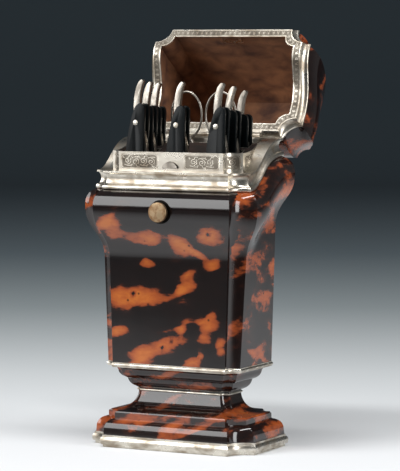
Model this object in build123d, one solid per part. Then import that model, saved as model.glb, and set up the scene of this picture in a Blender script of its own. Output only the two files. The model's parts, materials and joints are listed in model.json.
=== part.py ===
from build123d import *
import os

# A standing razor case: a wooden carcase veneered in tortoiseshell, with silver mounts, on a pedestal foot.
# Every level of it is a rectangle with a concave quarter-round notch at each corner.
# Millimetres. The origin is the middle of the foot's underside, +Z is up and the front faces -Y.
# The lid is built closed, then turned open about the hinge, because the case stands open at rest.

# Foot
PLINTH_WIDTH = 108.0
PLINTH_DEPTH = 66.7
PLINTH_NOTCH = 12.0
PLINTH_HEIGHT = 7.2
OVOLO_LEVEL = 16.4
SCOTIA_LEVEL = 19.8
NECK_WIDTH = 59.2
NECK_DEPTH = 23.0
NECK_NOTCH = 3.8
NECK_LEVEL = 31.8
NECK_BAND_HEIGHT = 1.6
TIER_LEVEL = 40.0
MOUNT_WALL = 1.4
BAIZE = 0.8

# Body
WAIST_WIDTH = 87.2
WAIST_DEPTH = 54.4
WAIST_NOTCH = 6.6
WAIST_LEVEL = 49.9
WAIST_BAND_HEIGHT = 2.9
SHOULDER_WIDTH = 93.4
SHOULDER_NOTCH = 7.9
SWELL_START = 112.0
SWELL_LEVEL = 142.0
SWELL = 9.9
NOTCH_GROWTH = 0.42
VENEER = 1.3
CARCASE_WALL = 2.9
FLOOR = 4.1

# Rim: its sides climb in an ogee from the front level to the back
RIM_LEVEL = 162.6
RIM_HEIGHT = 10.8
RIM_OUT = 3.8
RIM_PLATE = 1.0
RIM_FOOT_OUT = 3.4
RIM_BLOCK_OUT = 0.6
RIM_RISE = 19.0
RIM_OGEE_MIDDLE = -5.0

# Collar, tray and what lines the inside
COLLAR_SIDE_INSET = 3.9
COLLAR_FRONT_INSET = 3.0
COLLAR_NOTCH_GROWTH = 0.6
COLLAR_SHEET = 0.9
COLLAR_TOP = 174.0
COLLAR_RISE = 6.8
COLLAR_SEAT = 12.0
COLLAR_OGEE_MIDDLE = 3.0
TRAY_DROP = 2.4
TRAY_THICKNESS = 2.8
TRAY_GAP = 0.1
TRAY_SKIRT = 1.2
LINING = 1.2
FLOOR_PAD = 2.0
RACK_LEVEL = 96.0
RACK_THICKNESS = 3.0
STRINGING = 0.6
STRINGING_DEPTH = 0.5

# Lid
LID_HEIGHT = 63.9
LID_GAP = 0.4
LID_OPEN_ANGLE = 126.0
LID_RIM_OUT = 2.9
LID_FRAME_WIDTH = 5.2
LID_FRAME_SHEET = 1.0
LID_MOULDING_HEIGHT = 6.4
LID_MOULDING_OUT = 6.0
LID_BLOCK_OUT = 2.1
LID_SWELL = 6.8
LID_TOP_WALL = 4.0
LID_LINING = 0.8
LID_PASTE_GAP = 0.05
LID_MOUTH_OUT = -0.8

# Hinge
HINGE_LENGTH = 60.0
HINGE_KNUCKLES = 5
KNUCKLE_RADIUS = 1.6
HINGE_PIN_RADIUS = 0.8
HINGE_STAND_OFF = 2.4
HINGE_LEAF_SHEET = 1.0
HINGE_LEAF_DEPTH = 3.4
KNUCKLE_GAP = 0.15
RUNNING = 0.05

# Button and spring catch
BUTTON_RADIUS = 5.8
BUTTON_THICKNESS = 2.6
BUTTON_TRAVEL = 1.2
BUTTON_LEVEL = 140.0
STEM_RADIUS = 1.5
BUSH_FLANGE_RADIUS = 6.9
BUSH_FLANGE = 1.0
BUSH_WALL = 1.0
SPRING_ROOT = 104.0
SPRING_THICKNESS = 0.6
SPRING_HALF_WIDTH = 3.5
SPRING_GAP = 0.2
NOSE_WIDTH = 9.6
NOSE_HEIGHT = 3.4
NOSE_LEVEL = 164.9
NOSE_REACH = 1.3
CATCH_ROOM = 0.3
KEEPER_SHEET = 0.6
KEEPER_HEIGHT = 6.6

# Razors: sideways and lengthways slot places, and how high each pivot pin stands
SLOT_COLUMNS = {"left": -28.2, "centre": -0.3, "right": 26.8}
SLOT_ROWS = {"front": -15.0, "middle": -2.6, "rear": 9.8}
SLOT_SPLAY = 0.095
RAZOR_PIN_LEVELS = {
    "front_left": 190.7,
    "middle_left": 189.3,
    "rear_left": 188.4,
    "front_centre": 189.6,
    "front_right": 189.1,
    "middle_right": 187.0,
    "rear_right": 184.4,
}
PIN_OFFSET = 1.0
SCALE_THICKNESS = 2.2
BLADE_THICKNESS = 2.8
BLADE_ROOM = 0.1
HANDLE_WIDTH = 11.6
HANDLE_TOP = 11.2
HANDLE_FOOT_WIDTH = 9.6
SPINE_PROUD = 1.3
BLADE_END_GAP = 2.0
TAIL_LENGTH = 25.0
TAIL_WIDTH = 3.6
TAIL_LEAN = 2.6
RAZOR_PIN_RADIUS = 0.8
RAZOR_WASHER_RADIUS = 1.6
RAZOR_WASHER_PROUD = 0.5
SLOT_PLAY = 0.6
STANDING_GAP = 0.05

# Scissors
SCISSORS_X = 0.9
SCISSORS_Y = 16.2
RING_TOP = 209.0
RING_HEIGHT = 29.0
RING_WIDTH = 21.4
RING_PARTING = 0.6
RING_WIRE = 1.3
SCISSORS_PIVOT = 152.0
SCISSORS_SHEET = 1.5
SCISSORS_SLOT_WIDTH = 18.6
SCREW_RADIUS = 1.3

# How far cutting tools run past the solids that they cut
BEYOND = 6.0

# The middle control point's weight that makes a curve of three control points a true quarter circle
ARC_WEIGHT = 0.5**0.5


class Outline:
    """A rectangle with a quarter circle, centred on each corner, cut out of it."""

    def __init__(self, half_width, half_depth, notch):
        self.half_width = half_width
        self.half_depth = half_depth
        self.notch = notch

    def grown(self, out):
        """The outline that stands out by this much, or in where it is negative."""
        return Outline(self.half_width + out, self.half_depth + out, self.notch + NOTCH_GROWTH * out)

    def mixed(self, other, share):
        """The outline part of the way from this one to another."""
        half_width = self.half_width + (other.half_width - self.half_width) * share
        half_depth = self.half_depth + (other.half_depth - self.half_depth) * share
        return Outline(half_width, half_depth, self.notch + (other.notch - self.notch) * share)

    def at(self, level, lift=0.0):
        """This outline at a level, as a station. Lift is the share of the ogee's rise it takes part in."""
        return (self.half_width, self.half_depth, self.notch, level, lift)


class Ogee:
    """The S-shaped climb of the sides from the front to the back, steepest at the middle depth."""

    def __init__(self, middle, rise):
        self.middle = middle
        self.rise = rise

    def side(self, reach, level, lift):
        """Control points, as depth and level, of a side that runs from -reach to reach."""
        if self.rise == 0:
            return [(-reach, level), (reach, level)]
        top = level + self.rise * lift
        return [(-reach, level), (self.middle, level), (self.middle, top), (reach, top)]


PLINTH = Outline(PLINTH_WIDTH / 2, PLINTH_DEPTH / 2, PLINTH_NOTCH)
NECK = Outline(NECK_WIDTH / 2, NECK_DEPTH / 2, NECK_NOTCH)
WAIST = Outline(WAIST_WIDTH / 2, WAIST_DEPTH / 2, WAIST_NOTCH)
SHOULDER = Outline(SHOULDER_WIDTH / 2, WAIST_DEPTH / 2, SHOULDER_NOTCH)
COLLAR = Outline(
    SHOULDER.half_width - COLLAR_SIDE_INSET,
    SHOULDER.half_depth - COLLAR_FRONT_INSET,
    SHOULDER.notch + COLLAR_NOTCH_GROWTH,
)
RIM_OGEE = Ogee(RIM_OGEE_MIDDLE, RIM_RISE)
COLLAR_OGEE = Ogee(COLLAR_OGEE_MIDDLE, COLLAR_RISE)
LEVEL = Ogee(0.0, 0.0)
CAVITY = WAIST.grown(-VENEER - CARCASE_WALL)

RIM_BASE = RIM_LEVEL - RIM_HEIGHT
LID_LEVEL = RIM_LEVEL + LID_GAP
LID_TOP = RIM_LEVEL + LID_HEIGHT
HINGE_Y = SHOULDER.half_depth + RIM_OUT + HINGE_STAND_OFF
HINGE_Z = RIM_LEVEL + RIM_RISE + LID_GAP * 2
CAVITY_FLOOR = WAIST_LEVEL + FLOOR
RAZOR_SEAT = CAVITY_FLOOR + FLOOR_PAD
TRAY_TOP = COLLAR_TOP - TRAY_DROP
COLLAR_BASE = RIM_LEVEL - COLLAR_SEAT
HANDLE_HALF_THICKNESS = SCALE_THICKNESS + BLADE_THICKNESS / 2 + BLADE_ROOM
WEDGE_HEIGHT = HANDLE_FOOT_WIDTH * 1.5
BLADE_LENGTH = min(RAZOR_PIN_LEVELS.values()) - RAZOR_SEAT - WEDGE_HEIGHT - BLADE_END_GAP
COLLAR_FRONT = -COLLAR.half_depth
SPRING_FRONT = COLLAR_FRONT + COLLAR_SHEET + SPRING_GAP
BUTTON_SEAT = -(SHOULDER.half_depth + SWELL)


def profile(start, *steps):
    """A chain of stations: a step of one station is a line, and a step of three is a Bezier curve."""
    chain = []
    here = start
    for step in steps:
        chain.append([here, *step])
        here = step[-1]
    return chain


def apart(one, other):
    """Whether two stations differ."""
    return max(abs(a - b) for a, b in zip(one, other)) > 1e-6


def path(*items):
    """One chain through stations and chains, joined by lines."""
    chain = []
    here = None
    for item in items:
        pieces = item if isinstance(item, list) else []
        start = pieces[0][0] if pieces else item
        if here is not None and apart(here, start):
            chain.append([here, start])
        chain += pieces
        here = pieces[-1][-1] if pieces else item
    return chain


def backwards(chain):
    return [list(reversed(stations)) for stations in reversed(chain)]


def shifted(chain, out):
    """The same chain standing out by this much, or in where it is negative."""
    moved = []
    for stations in chain:
        row = []
        for width, depth, notch, level, lift in stations:
            row.append((width + out, depth + out, notch + NOTCH_GROWTH * out, level, lift))
        moved.append(row)
    return moved


def halves(stations):
    """The two curves that one curve of stations is made of, each as its own control stations."""
    ladder = [list(stations)]
    while len(ladder[-1]) > 1:
        row = ladder[-1]
        ladder.append([tuple((a + b) / 2 for a, b in zip(one, other)) for one, other in zip(row, row[1:])])
    return [row[0] for row in ladder], [row[-1] for row in reversed(ladder)]


def stretches(station, ogee):
    """Control points of a station's front, corners and sides, in turn from the front to the right."""
    width, depth, notch, level, lift = station
    top = level + ogee.rise * lift
    x, y = width - notch, depth - notch
    right = [(width, *point) for point in ogee.side(y, level, lift)]
    left = [(-width, *point) for point in reversed(ogee.side(y, level, lift))]
    return [
        [(-x, -depth, level), (x, -depth, level)],
        [(x, -depth, level), (x, -y, level), (width, -y, level)],
        right,
        [(width, y, top), (x, y, top), (x, depth, top)],
        [(x, depth, top), (-x, depth, top)],
        [(-x, depth, top), (-x, y, top), (-width, y, top)],
        left,
        [(-width, -y, level), (-x, -y, level), (-x, -depth, level)],
    ]


FRONT, FRONT_RIGHT, RIGHT, BACK_RIGHT, BACK, BACK_LEFT, LEFT, FRONT_LEFT = range(8)
CORNERS = (FRONT_RIGHT, BACK_RIGHT, BACK_LEFT, FRONT_LEFT)


def curve(points):
    """A line, a quarter circle or a cubic curve, by how many control points there are."""
    if len(points) == 2:
        return Edge.make_line(*points)
    if len(points) == 3:
        return Edge.make_bezier(*points, weights=[1.0, ARC_WEIGHT, 1.0])
    return Edge.make_bezier(*points)


def is_flat(points):
    """Whether all the points lie in one plane."""
    corner = Vector(*points[0])
    arms = sorted((Vector(*p) - corner for p in points[1:]), key=lambda arm: -arm.length)
    normals = sorted((arms[0].cross(arm) for arm in arms[1:]), key=lambda n: -n.length)
    normal = normals[0].normalized()
    return all(abs(arm.dot(normal)) < 1e-7 for arm in arms)


def patch(grid):
    """The face over a grid of control points: rows run along the outline, columns along the chain."""
    flat = [point for row in grid for point in row]
    if is_flat(flat):
        first, last = [row[0] for row in grid], [row[-1] for row in grid]
        return Face(Wire([curve(first), curve(last), curve(grid[0]), curve(grid[-1])]))
    if len(grid) == 3:
        weights = [[weight] * len(grid[0]) for weight in (1.0, ARC_WEIGHT, 1.0)]
        return Face.make_bezier_surface(grid, weights)
    return Face.make_bezier_surface(grid)


def skin(chain, ogee, chosen=range(8)):
    """The faces that a chain of stations sweeps round the chosen stretches."""
    faces = []
    for stations in chain:
        rows = [stretches(station, ogee) for station in stations]
        for i in chosen:
            columns = [row[i] for row in rows]
            faces.append(patch([list(points) for points in zip(*columns)]))
    return faces


def cap(station, ogee):
    """The faces that close a form at a station, which climb from front to back if it is lifted."""
    runs = stretches(station, ogee)
    edges = [curve(points) for points in runs]
    if ogee.rise * station[4] == 0:
        return [Face(Wire(edges))]
    right, left = runs[RIGHT], list(reversed(runs[LEFT]))
    front = [edges[i] for i in (FRONT, FRONT_RIGHT, FRONT_LEFT)] + [curve([right[0], left[0]])]
    back = [edges[i] for i in (BACK, BACK_LEFT, BACK_RIGHT)] + [curve([right[-1], left[-1]])]
    return [Face(Wire(front)), Face(Wire(back)), patch([list(pair) for pair in zip(right, left)])]


def whole(shape):
    """The one solid that a shape should be."""
    solids = shape.solids() if shape else []
    if len(solids) != 1:
        print("pieces where one was expected:", [round(s.volume, 3) for s in solids])
    return max(solids, key=lambda s: s.volume)


def turned(chain, ogee=LEVEL):
    """The solid inside a chain that is closed at both its ends."""
    ends = cap(chain[0][0], ogee) + cap(chain[-1][-1], ogee)
    return Solid(Shell(skin(chain, ogee) + ends))


def ring(*items, ogee=LEVEL):
    """The hollow solid that a closed chain sweeps round."""
    first = items[0][0][0] if isinstance(items[0], list) else items[0]
    return Solid(Shell(skin(path(*items, first), ogee)))


def panel(outer, inner, ogee, chosen):
    """The part of a wall between two chains that lies along the chosen stretches."""
    faces = skin(outer, ogee, chosen) + skin(inner, ogee, chosen)
    for i in (0, -1):
        faces += skin([[outer[i][i], inner[i][i]]], ogee, chosen)
    for stations, backing in zip(outer, inner):
        for stretch, end in ((chosen[0], 0), (chosen[-1], -1)):
            rows = []
            for row in (stations, backing):
                rows.append([stretches(station, ogee)[stretch][end] for station in row])
            faces.append(patch(rows))
    return Solid(Shell(faces))


def block(outline, low, high):
    """A straight block of an outline."""
    return turned(path(outline.at(low), outline.at(high)))


def box(low, high):
    """A plain box from its lowest to its highest corner."""
    size = [b - a for a, b in zip(low, high)]
    return Solid.make_box(*size, Plane(origin=low))


def rod(radius, start, end):
    """A round bar between two points."""
    way = Vector(*end) - Vector(*start)
    return Solid.make_cylinder(radius, way.length, Plane(origin=start, z_dir=way))


# Foot

def foot_outline(inward):
    """An outline of the foot, so far in from the plinth towards the neck."""
    return PLINTH.mixed(NECK, inward / (PLINTH.half_width - NECK.half_width))


def tier_outline(inward, wall=0.0):
    """An outline of the flare above the neck, so far in from the waist."""
    return WAIST.mixed(NECK, inward / (WAIST.half_width - NECK.half_width)).grown(-wall)


FOOT_BLOCK = foot_outline(1.5 + MOUNT_WALL)
OVOLO_TOP_IN = 8.4
SCOTIA_TOP_IN = 24.1
NECK_BLOCK = foot_outline(SCOTIA_TOP_IN + VENEER)
NECK_BAND_TOP = NECK_LEVEL + NECK_BAND_HEIGHT
WAIST_BAND_LOW = WAIST_LEVEL - WAIST_BAND_HEIGHT


def plinth_chain():
    """The silver moulding round the foot: a fillet, a full round and a thin lip."""
    low, high = 1.7, PLINTH_HEIGHT - 1.3
    return profile(
        foot_outline(1.5).at(0),
        (foot_outline(1.3).at(low),),
        (foot_outline(0.3).at(low),),
        (
            foot_outline(-0.5).at(low + 1.2),
            foot_outline(-0.5).at(high - 1.2),
            foot_outline(0.5).at(high),
        ),
        (foot_outline(1.1).at(high),),
        (foot_outline(1.1).at(PLINTH_HEIGHT),),
    )


def ovolo_chain(wall=0.0):
    """The quarter-round over the plinth, to the step at its top, or its back at this wall's depth."""
    top = OVOLO_LEVEL - wall
    return profile(
        foot_outline(1.8 + wall).at(PLINTH_HEIGHT),
        (foot_outline(2.1 + wall).at(top - 5.4),),
        (
            foot_outline(2.5 + wall).at(top - 2.0),
            foot_outline(4.8 + wall).at(top - 0.6),
            foot_outline(OVOLO_TOP_IN - 1.0 + wall).at(top),
        ),
        (foot_outline(OVOLO_TOP_IN + wall).at(top),),
    )


def scotia_chain(wall=0.0):
    """The hollow that draws the foot in to its neck, or its back at this wall's depth."""
    base = SCOTIA_LEVEL - wall
    return profile(
        foot_outline(OVOLO_TOP_IN + 0.5 + wall).at(base),
        (foot_outline(OVOLO_TOP_IN + 0.9 + wall).at(base + 0.7),),
        (
            foot_outline(18.5 + wall).at(base + 1.4),
            foot_outline(23.0 + wall).at(base + 4.2),
            foot_outline(SCOTIA_TOP_IN + wall).at(NECK_LEVEL),
        ),
    )


def lower_tier_chain(wall=0.0):
    """The first round tier above the neck."""
    return profile(
        tier_outline(13.6, wall).at(NECK_BAND_TOP),
        (tier_outline(13.6, wall).at(NECK_BAND_TOP + 0.4),),
        (
            tier_outline(11.2, wall).at(NECK_BAND_TOP + 0.9),
            tier_outline(8.9, wall).at(NECK_BAND_TOP + 3.0),
            tier_outline(8.6, wall).at(TIER_LEVEL),
        ),
    )


def upper_tier_chain(wall=0.0):
    """The second tier, up to the silver waist band."""
    return profile(
        tier_outline(7.6, wall).at(TIER_LEVEL),
        (
            tier_outline(5.6, wall).at(TIER_LEVEL + 1.0),
            tier_outline(4.6, wall).at(TIER_LEVEL + 2.4),
            tier_outline(4.4, wall).at(TIER_LEVEL + 4.4),
        ),
        (
            tier_outline(4.0, wall).at(TIER_LEVEL + 5.8),
            tier_outline(3.2, wall).at(WAIST_BAND_LOW - 0.4),
            tier_outline(1.6, wall).at(WAIST_BAND_LOW),
        ),
    )


def waist_band_chain():
    top, low = WAIST_LEVEL, WAIST_BAND_LOW
    return profile(
        WAIST.grown(0.1).at(low),
        (WAIST.grown(0.3).at(low + 0.5),),
        (
            WAIST.grown(1.1).at(low + 0.8),
            WAIST.grown(1.1).at(top - 0.8),
            WAIST.grown(0.3).at(top - 0.5),
        ),
        (WAIST.grown(0.3).at(top),),
    )


def neck_band_chain():
    low, top = NECK_LEVEL, NECK_BAND_TOP
    return profile(
        NECK.grown(0.4).at(low),
        (
            NECK.grown(1.5).at(low + 0.1),
            NECK.grown(1.5).at(top - 0.1),
            NECK.grown(0.4).at(top),
        ),
    )


def make_foot(parts):
    """The foot: a shaped wooden stack, with the veneers and the silver mounts that are laid on it."""
    ovolo_back = foot_outline(OVOLO_TOP_IN + VENEER)
    band_back = WAIST.grown(-MOUNT_WALL)
    parts["foot_core"] = turned(
        path(
            FOOT_BLOCK.at(BAIZE),
            FOOT_BLOCK.at(PLINTH_HEIGHT),
            ovolo_chain(VENEER),
            scotia_chain(VENEER),
            NECK_BLOCK.at(NECK_LEVEL),
            NECK_BLOCK.at(NECK_BAND_TOP),
            lower_tier_chain(VENEER),
            upper_tier_chain(VENEER),
            band_back.at(WAIST_BAND_LOW),
            band_back.at(WAIST_LEVEL),
        )
    )
    parts["foot_baize"] = block(FOOT_BLOCK, 0, BAIZE)
    parts["foot_plinth_mount"] = ring(plinth_chain(), FOOT_BLOCK.at(PLINTH_HEIGHT), FOOT_BLOCK.at(0))
    parts["foot_ovolo_veneer"] = ring(
        ovolo_chain(),
        foot_outline(OVOLO_TOP_IN).at(SCOTIA_LEVEL),
        ovolo_back.at(SCOTIA_LEVEL),
        backwards(ovolo_chain(VENEER)),
    )
    parts["foot_scotia_veneer"] = ring(
        scotia_chain(),
        backwards(scotia_chain(VENEER)),
        ovolo_back.at(SCOTIA_LEVEL - VENEER),
        ovolo_back.at(SCOTIA_LEVEL),
    )
    parts["neck_band"] = ring(neck_band_chain(), NECK_BLOCK.at(NECK_BAND_TOP), NECK_BLOCK.at(NECK_LEVEL))
    tiers = []
    for chain in (lower_tier_chain, upper_tier_chain):
        tiers.append(ring(chain(), backwards(chain(VENEER))))
    parts["tier_veneers"] = Compound(tiers)
    parts["waist_band"] = ring(waist_band_chain(), band_back.at(WAIST_LEVEL), band_back.at(WAIST_BAND_LOW))


# Body

def body_chain():
    """The outside of the body: straight sides that flare a little, then the swelling shoulder."""
    def out(amount, level):
        return SHOULDER.grown(amount).at(level, 1.0)

    turn = (SWELL_START + SWELL_LEVEL) / 2 + 2.0
    shoulder_drop = RIM_BASE - SWELL_LEVEL
    return profile(
        WAIST.at(WAIST_LEVEL),
        (SHOULDER.at(SWELL_START, 1.0),),
        (
            out(0.3, SWELL_START + 8.0),
            out(SWELL * 0.36, turn - 5.0),
            out(SWELL * 0.66, turn),
        ),
        (
            out(SWELL * 0.92, turn + 4.2),
            out(SWELL, SWELL_LEVEL - 4.6),
            out(SWELL, SWELL_LEVEL),
        ),
        (
            out(SWELL, SWELL_LEVEL + shoulder_drop * 0.5),
            out(SWELL * 0.82, RIM_BASE - 1.2),
            out(RIM_FOOT_OUT, RIM_BASE),
        ),
    )


def rim_chain():
    """The rim moulding from its bead up through the hollow to its flat ledge."""
    def out(amount, level):
        return SHOULDER.grown(amount).at(level, 1.0)

    bead_top = RIM_BASE + 3.0
    lip = RIM_LEVEL - RIM_PLATE
    return profile(
        out(RIM_FOOT_OUT, RIM_BASE),
        (
            out(RIM_OUT + 0.9, RIM_BASE + 0.4),
            out(RIM_OUT + 0.9, bead_top - 0.4),
            out(RIM_OUT - 0.8, bead_top),
        ),
        (out(RIM_OUT - 1.2, bead_top + 0.3),),
        (
            out(RIM_OUT - 2.6, bead_top + 1.6),
            out(RIM_OUT - 2.6, lip - 1.6),
            out(RIM_OUT - 0.9, lip - 0.2),
        ),
        (out(RIM_OUT, lip),),
        (out(RIM_OUT, RIM_LEVEL),),
    )


def rim_out(amount, level):
    return SHOULDER.grown(amount).at(level, 1.0)


def make_body(parts):
    """The body: a wooden cup veneered all round, with the silver rim moulding on top of it."""
    outer = body_chain()
    inner = shifted(outer, -VENEER)
    parts["corner_veneers"] = Compound([panel(outer, inner, RIM_OGEE, [i]) for i in CORNERS])
    seat_back = (0, BUTTON_SEAT + BUSH_FLANGE, BUTTON_LEVEL)
    seat = rod(BUSH_FLANGE_RADIUS, (0, BUTTON_SEAT - BEYOND, BUTTON_LEVEL), seat_back)
    for name, stretch in (("front", FRONT), ("back", BACK), ("left", LEFT), ("right", RIGHT)):
        parts[f"{name}_veneer"] = panel(outer, inner, RIM_OGEE, [stretch])
    bush = STEM_RADIUS + RUNNING + BUSH_WALL
    bore = rod(bush, (0, BUTTON_SEAT - BEYOND, BUTTON_LEVEL), (0, 0, BUTTON_LEVEL))
    parts["front_veneer"] = whole(parts["front_veneer"].cut(seat, bore))

    lip = RIM_LEVEL - RIM_PLATE
    carcase = turned(
        path(
            inner,
            rim_out(RIM_BLOCK_OUT, RIM_BASE),
            rim_out(RIM_BLOCK_OUT, lip),
            COLLAR.at(lip, 1.0),
            COLLAR.at(COLLAR_BASE),
            CAVITY.at(COLLAR_BASE),
            CAVITY.at(CAVITY_FLOOR),
        ),
        RIM_OGEE,
    )
    half_channel = SPRING_HALF_WIDTH + 1.5
    channel = box(
        (-half_channel, SPRING_FRONT - 0.8, SPRING_ROOT - 9.0),
        (half_channel, 1.0 - CAVITY.half_depth, COLLAR_BASE + 1.0),
    )
    parts["body_carcase"] = whole(carcase.cut(channel, bore, seat))
    parts["rim_moulding"] = ring(
        rim_chain(),
        rim_out(LID_RIM_OUT, RIM_LEVEL),
        rim_out(LID_RIM_OUT - LID_FRAME_WIDTH, RIM_LEVEL),
        COLLAR.at(RIM_LEVEL, 1.0),
        COLLAR.at(lip, 1.0),
        rim_out(RIM_BLOCK_OUT, lip),
        rim_out(RIM_BLOCK_OUT, RIM_BASE),
        rim_out(RIM_FOOT_OUT - VENEER, RIM_BASE),
        ogee=RIM_OGEE,
    )
    make_collar(parts)
    make_inside(parts)
    make_button(parts)


def nose_window(room=0.0):
    """The D-shaped opening in the collar that the catch's nose comes through, as a cutting block."""
    half = NOSE_WIDTH / 2 + room
    base = NOSE_LEVEL - room
    top = NOSE_LEVEL + NOSE_HEIGHT + room
    edges = [
        Edge.make_line((-half, 0, base), (half, 0, base)),
        Edge.make_line((half, 0, base), (half, 0, base + 0.8)),
        Edge.make_three_point_arc((half, 0, base + 0.8), (0, 0, top), (-half, 0, base + 0.8)),
        Edge.make_line((-half, 0, base + 0.8), (-half, 0, base)),
    ]
    return Face(Wire(edges))


def make_collar(parts):
    inner = COLLAR.grown(-COLLAR_SHEET)
    sheet = ring(
        COLLAR.at(COLLAR_BASE),
        COLLAR.at(COLLAR_TOP, 1.0),
        inner.at(COLLAR_TOP, 1.0),
        inner.at(COLLAR_BASE),
        ogee=COLLAR_OGEE,
    )
    window = nose_window(CATCH_ROOM).moved(Location((0, COLLAR_FRONT - 1.0, 0)))
    parts["collar"] = whole(sheet.cut(Solid.extrude(window, Vector(0, COLLAR_SHEET + 2.0, 0))))


def slot_places():
    """Each razor's name with the middle of its slot."""
    places = {}
    for name in RAZOR_PIN_LEVELS:
        row, column = name.split("_")
        x, y = SLOT_COLUMNS[column], SLOT_ROWS[row]
        outward = {"left": -1, "centre": 0, "right": 1}[column]
        places[name] = (x + outward * SLOT_SPLAY * (y - SLOT_ROWS["middle"]), y)
    return places


def slot_boxes(low, high, grow=0.0):
    """One cutting box for each razor's slot, between two levels, wider on the side of the spine."""
    left = HANDLE_WIDTH / 2 + SLOT_PLAY + grow
    right = left + SPINE_PROUD
    half_y = HANDLE_HALF_THICKNESS + SLOT_PLAY + grow
    boxes = []
    for x, y in slot_places().values():
        boxes.append(box((x - left, y - half_y, low), (x + right, y + half_y, high)))
    return boxes


def scissors_box(low, high, grow=0.0):
    half_x = SCISSORS_SLOT_WIDTH / 2 + grow
    half_y = SCISSORS_SHEET + SLOT_PLAY + grow
    return box(
        (SCISSORS_X - half_x, SCISSORS_Y - half_y, low), (SCISSORS_X + half_x, SCISSORS_Y + half_y, high)
    )


def catch_room(low, high):
    """The space that the spring needs to swing back in, as a cutting box."""
    half = NOSE_WIDTH / 2 + 2 * CATCH_ROOM
    back = SPRING_FRONT + SPRING_THICKNESS + BUTTON_TRAVEL * 2 + CATCH_ROOM
    return box((-half, COLLAR_FRONT, low), (half, back, high))


def make_inside(parts):
    """What fills the inside: the lining, the skirted tray over it, and the pad and rack under it."""
    tray_outline = COLLAR.grown(-COLLAR_SHEET - TRAY_GAP)
    inner = CAVITY.grown(-LINING)
    base = TRAY_TOP - TRAY_THICKNESS
    skirt = tray_outline.grown(-TRAY_SKIRT)
    slab = turned(
        path(
            tray_outline.at(TRAY_TOP, 1.0),
            tray_outline.at(COLLAR_BASE),
            skirt.at(COLLAR_BASE),
            skirt.at(base, 1.0),
        ),
        COLLAR_OGEE,
    )
    low, high = base - BEYOND, TRAY_TOP + COLLAR_RISE + BEYOND
    slots = slot_boxes(low, high) + [scissors_box(low, high)]
    frames = slot_boxes(low, high, STRINGING) + [scissors_box(low, high, STRINGING)]
    top = turned(
        path(tray_outline.at(TRAY_TOP, 1.0), tray_outline.at(TRAY_TOP - STRINGING_DEPTH, 1.0)), COLLAR_OGEE
    )
    strings = []
    for frame, slot in zip(frames, slots):
        strings.append(whole((top & frame).cut(slot)))
    parts["slot_stringing"] = Compound(strings)
    parts["tray"] = whole(slab.cut(catch_room(COLLAR_BASE - 1.0, base), *slots).cut(*strings))

    walls = ring(
        CAVITY.at(CAVITY_FLOOR), CAVITY.at(COLLAR_BASE), inner.at(COLLAR_BASE), inner.at(CAVITY_FLOOR)
    )
    parts["cavity_lining"] = whole(walls.cut(catch_room(SPRING_ROOT - 9.0, high)))
    parts["floor_pad"] = block(inner, CAVITY_FLOOR, RAZOR_SEAT)
    rack_low = RACK_LEVEL - RACK_THICKNESS
    rack_slots = slot_boxes(rack_low - BEYOND, RACK_LEVEL + BEYOND)
    parts["lower_rack"] = whole(block(inner, rack_low, RACK_LEVEL).cut(*rack_slots))


# Button, spring and catch

def make_button(parts):
    """The push button, its bush in the front wall, and the leaf spring that carries the catch's nose."""
    seat_back = BUTTON_SEAT + BUSH_FLANGE
    wall_back = SPRING_FRONT - 0.8
    bush = STEM_RADIUS + RUNNING + BUSH_WALL
    tube = rod(bush, (0, seat_back, BUTTON_LEVEL), (0, wall_back, BUTTON_LEVEL))
    flange = rod(BUSH_FLANGE_RADIUS, (0, BUTTON_SEAT, BUTTON_LEVEL), (0, seat_back, BUTTON_LEVEL))
    stem_hole = rod(STEM_RADIUS + RUNNING, (0, BUTTON_SEAT - BEYOND, BUTTON_LEVEL), (0, 0, BUTTON_LEVEL))
    parts["button_bush"] = whole(flange.fuse(tube).cut(stem_hole))

    back = BUTTON_SEAT - BUTTON_TRAVEL - CATCH_ROOM
    face = back - BUTTON_THICKNESS
    disc = rod(BUTTON_RADIUS, (0, face, BUTTON_LEVEL), (0, back, BUTTON_LEVEL))
    disc = disc.fillet(0.7, [e for e in disc.edges() if abs(e.center().Y - face) < 0.01])
    stem = rod(STEM_RADIUS, (0, back, BUTTON_LEVEL), (0, SPRING_FRONT - 0.15, BUTTON_LEVEL))
    parts["button"] = whole(disc.fuse(stem))

    leaf_top = NOSE_LEVEL + NOSE_HEIGHT
    spring_back = SPRING_FRONT + SPRING_THICKNESS
    half = SPRING_HALF_WIDTH
    leaf = box((-half, SPRING_FRONT, SPRING_ROOT + 0.2), (half, spring_back, leaf_top))
    nose_face = nose_window().moved(Location((0, COLLAR_FRONT - NOSE_REACH, 0)))
    nose = Solid.extrude(nose_face, Vector(0, SPRING_FRONT + NOSE_REACH - COLLAR_FRONT + 0.1, 0))
    parts["catch_spring"] = whole(leaf.fuse(nose))

    foot_low = SPRING_ROOT - 7.0
    foot = box((-half, SPRING_FRONT, foot_low), (half, spring_back, SPRING_ROOT))
    block_front = SPRING_FRONT - 0.8
    packing = box((-half, block_front, foot_low), (half, SPRING_FRONT, SPRING_ROOT - 1.0))
    rivets = []
    for level in (foot_low + 1.6, SPRING_ROOT - 2.4):
        rivets.append(rod(0.7, (0, block_front, level), (0, spring_back + 0.4, level)))
    parts["catch_spring_foot"] = Compound([whole(foot.fuse(packing).cut(*rivets)), *rivets])


# Lid, built closed

def lid_out(amount, level, lift=1.0):
    return SHOULDER.grown(amount).at(level, lift)


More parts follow.
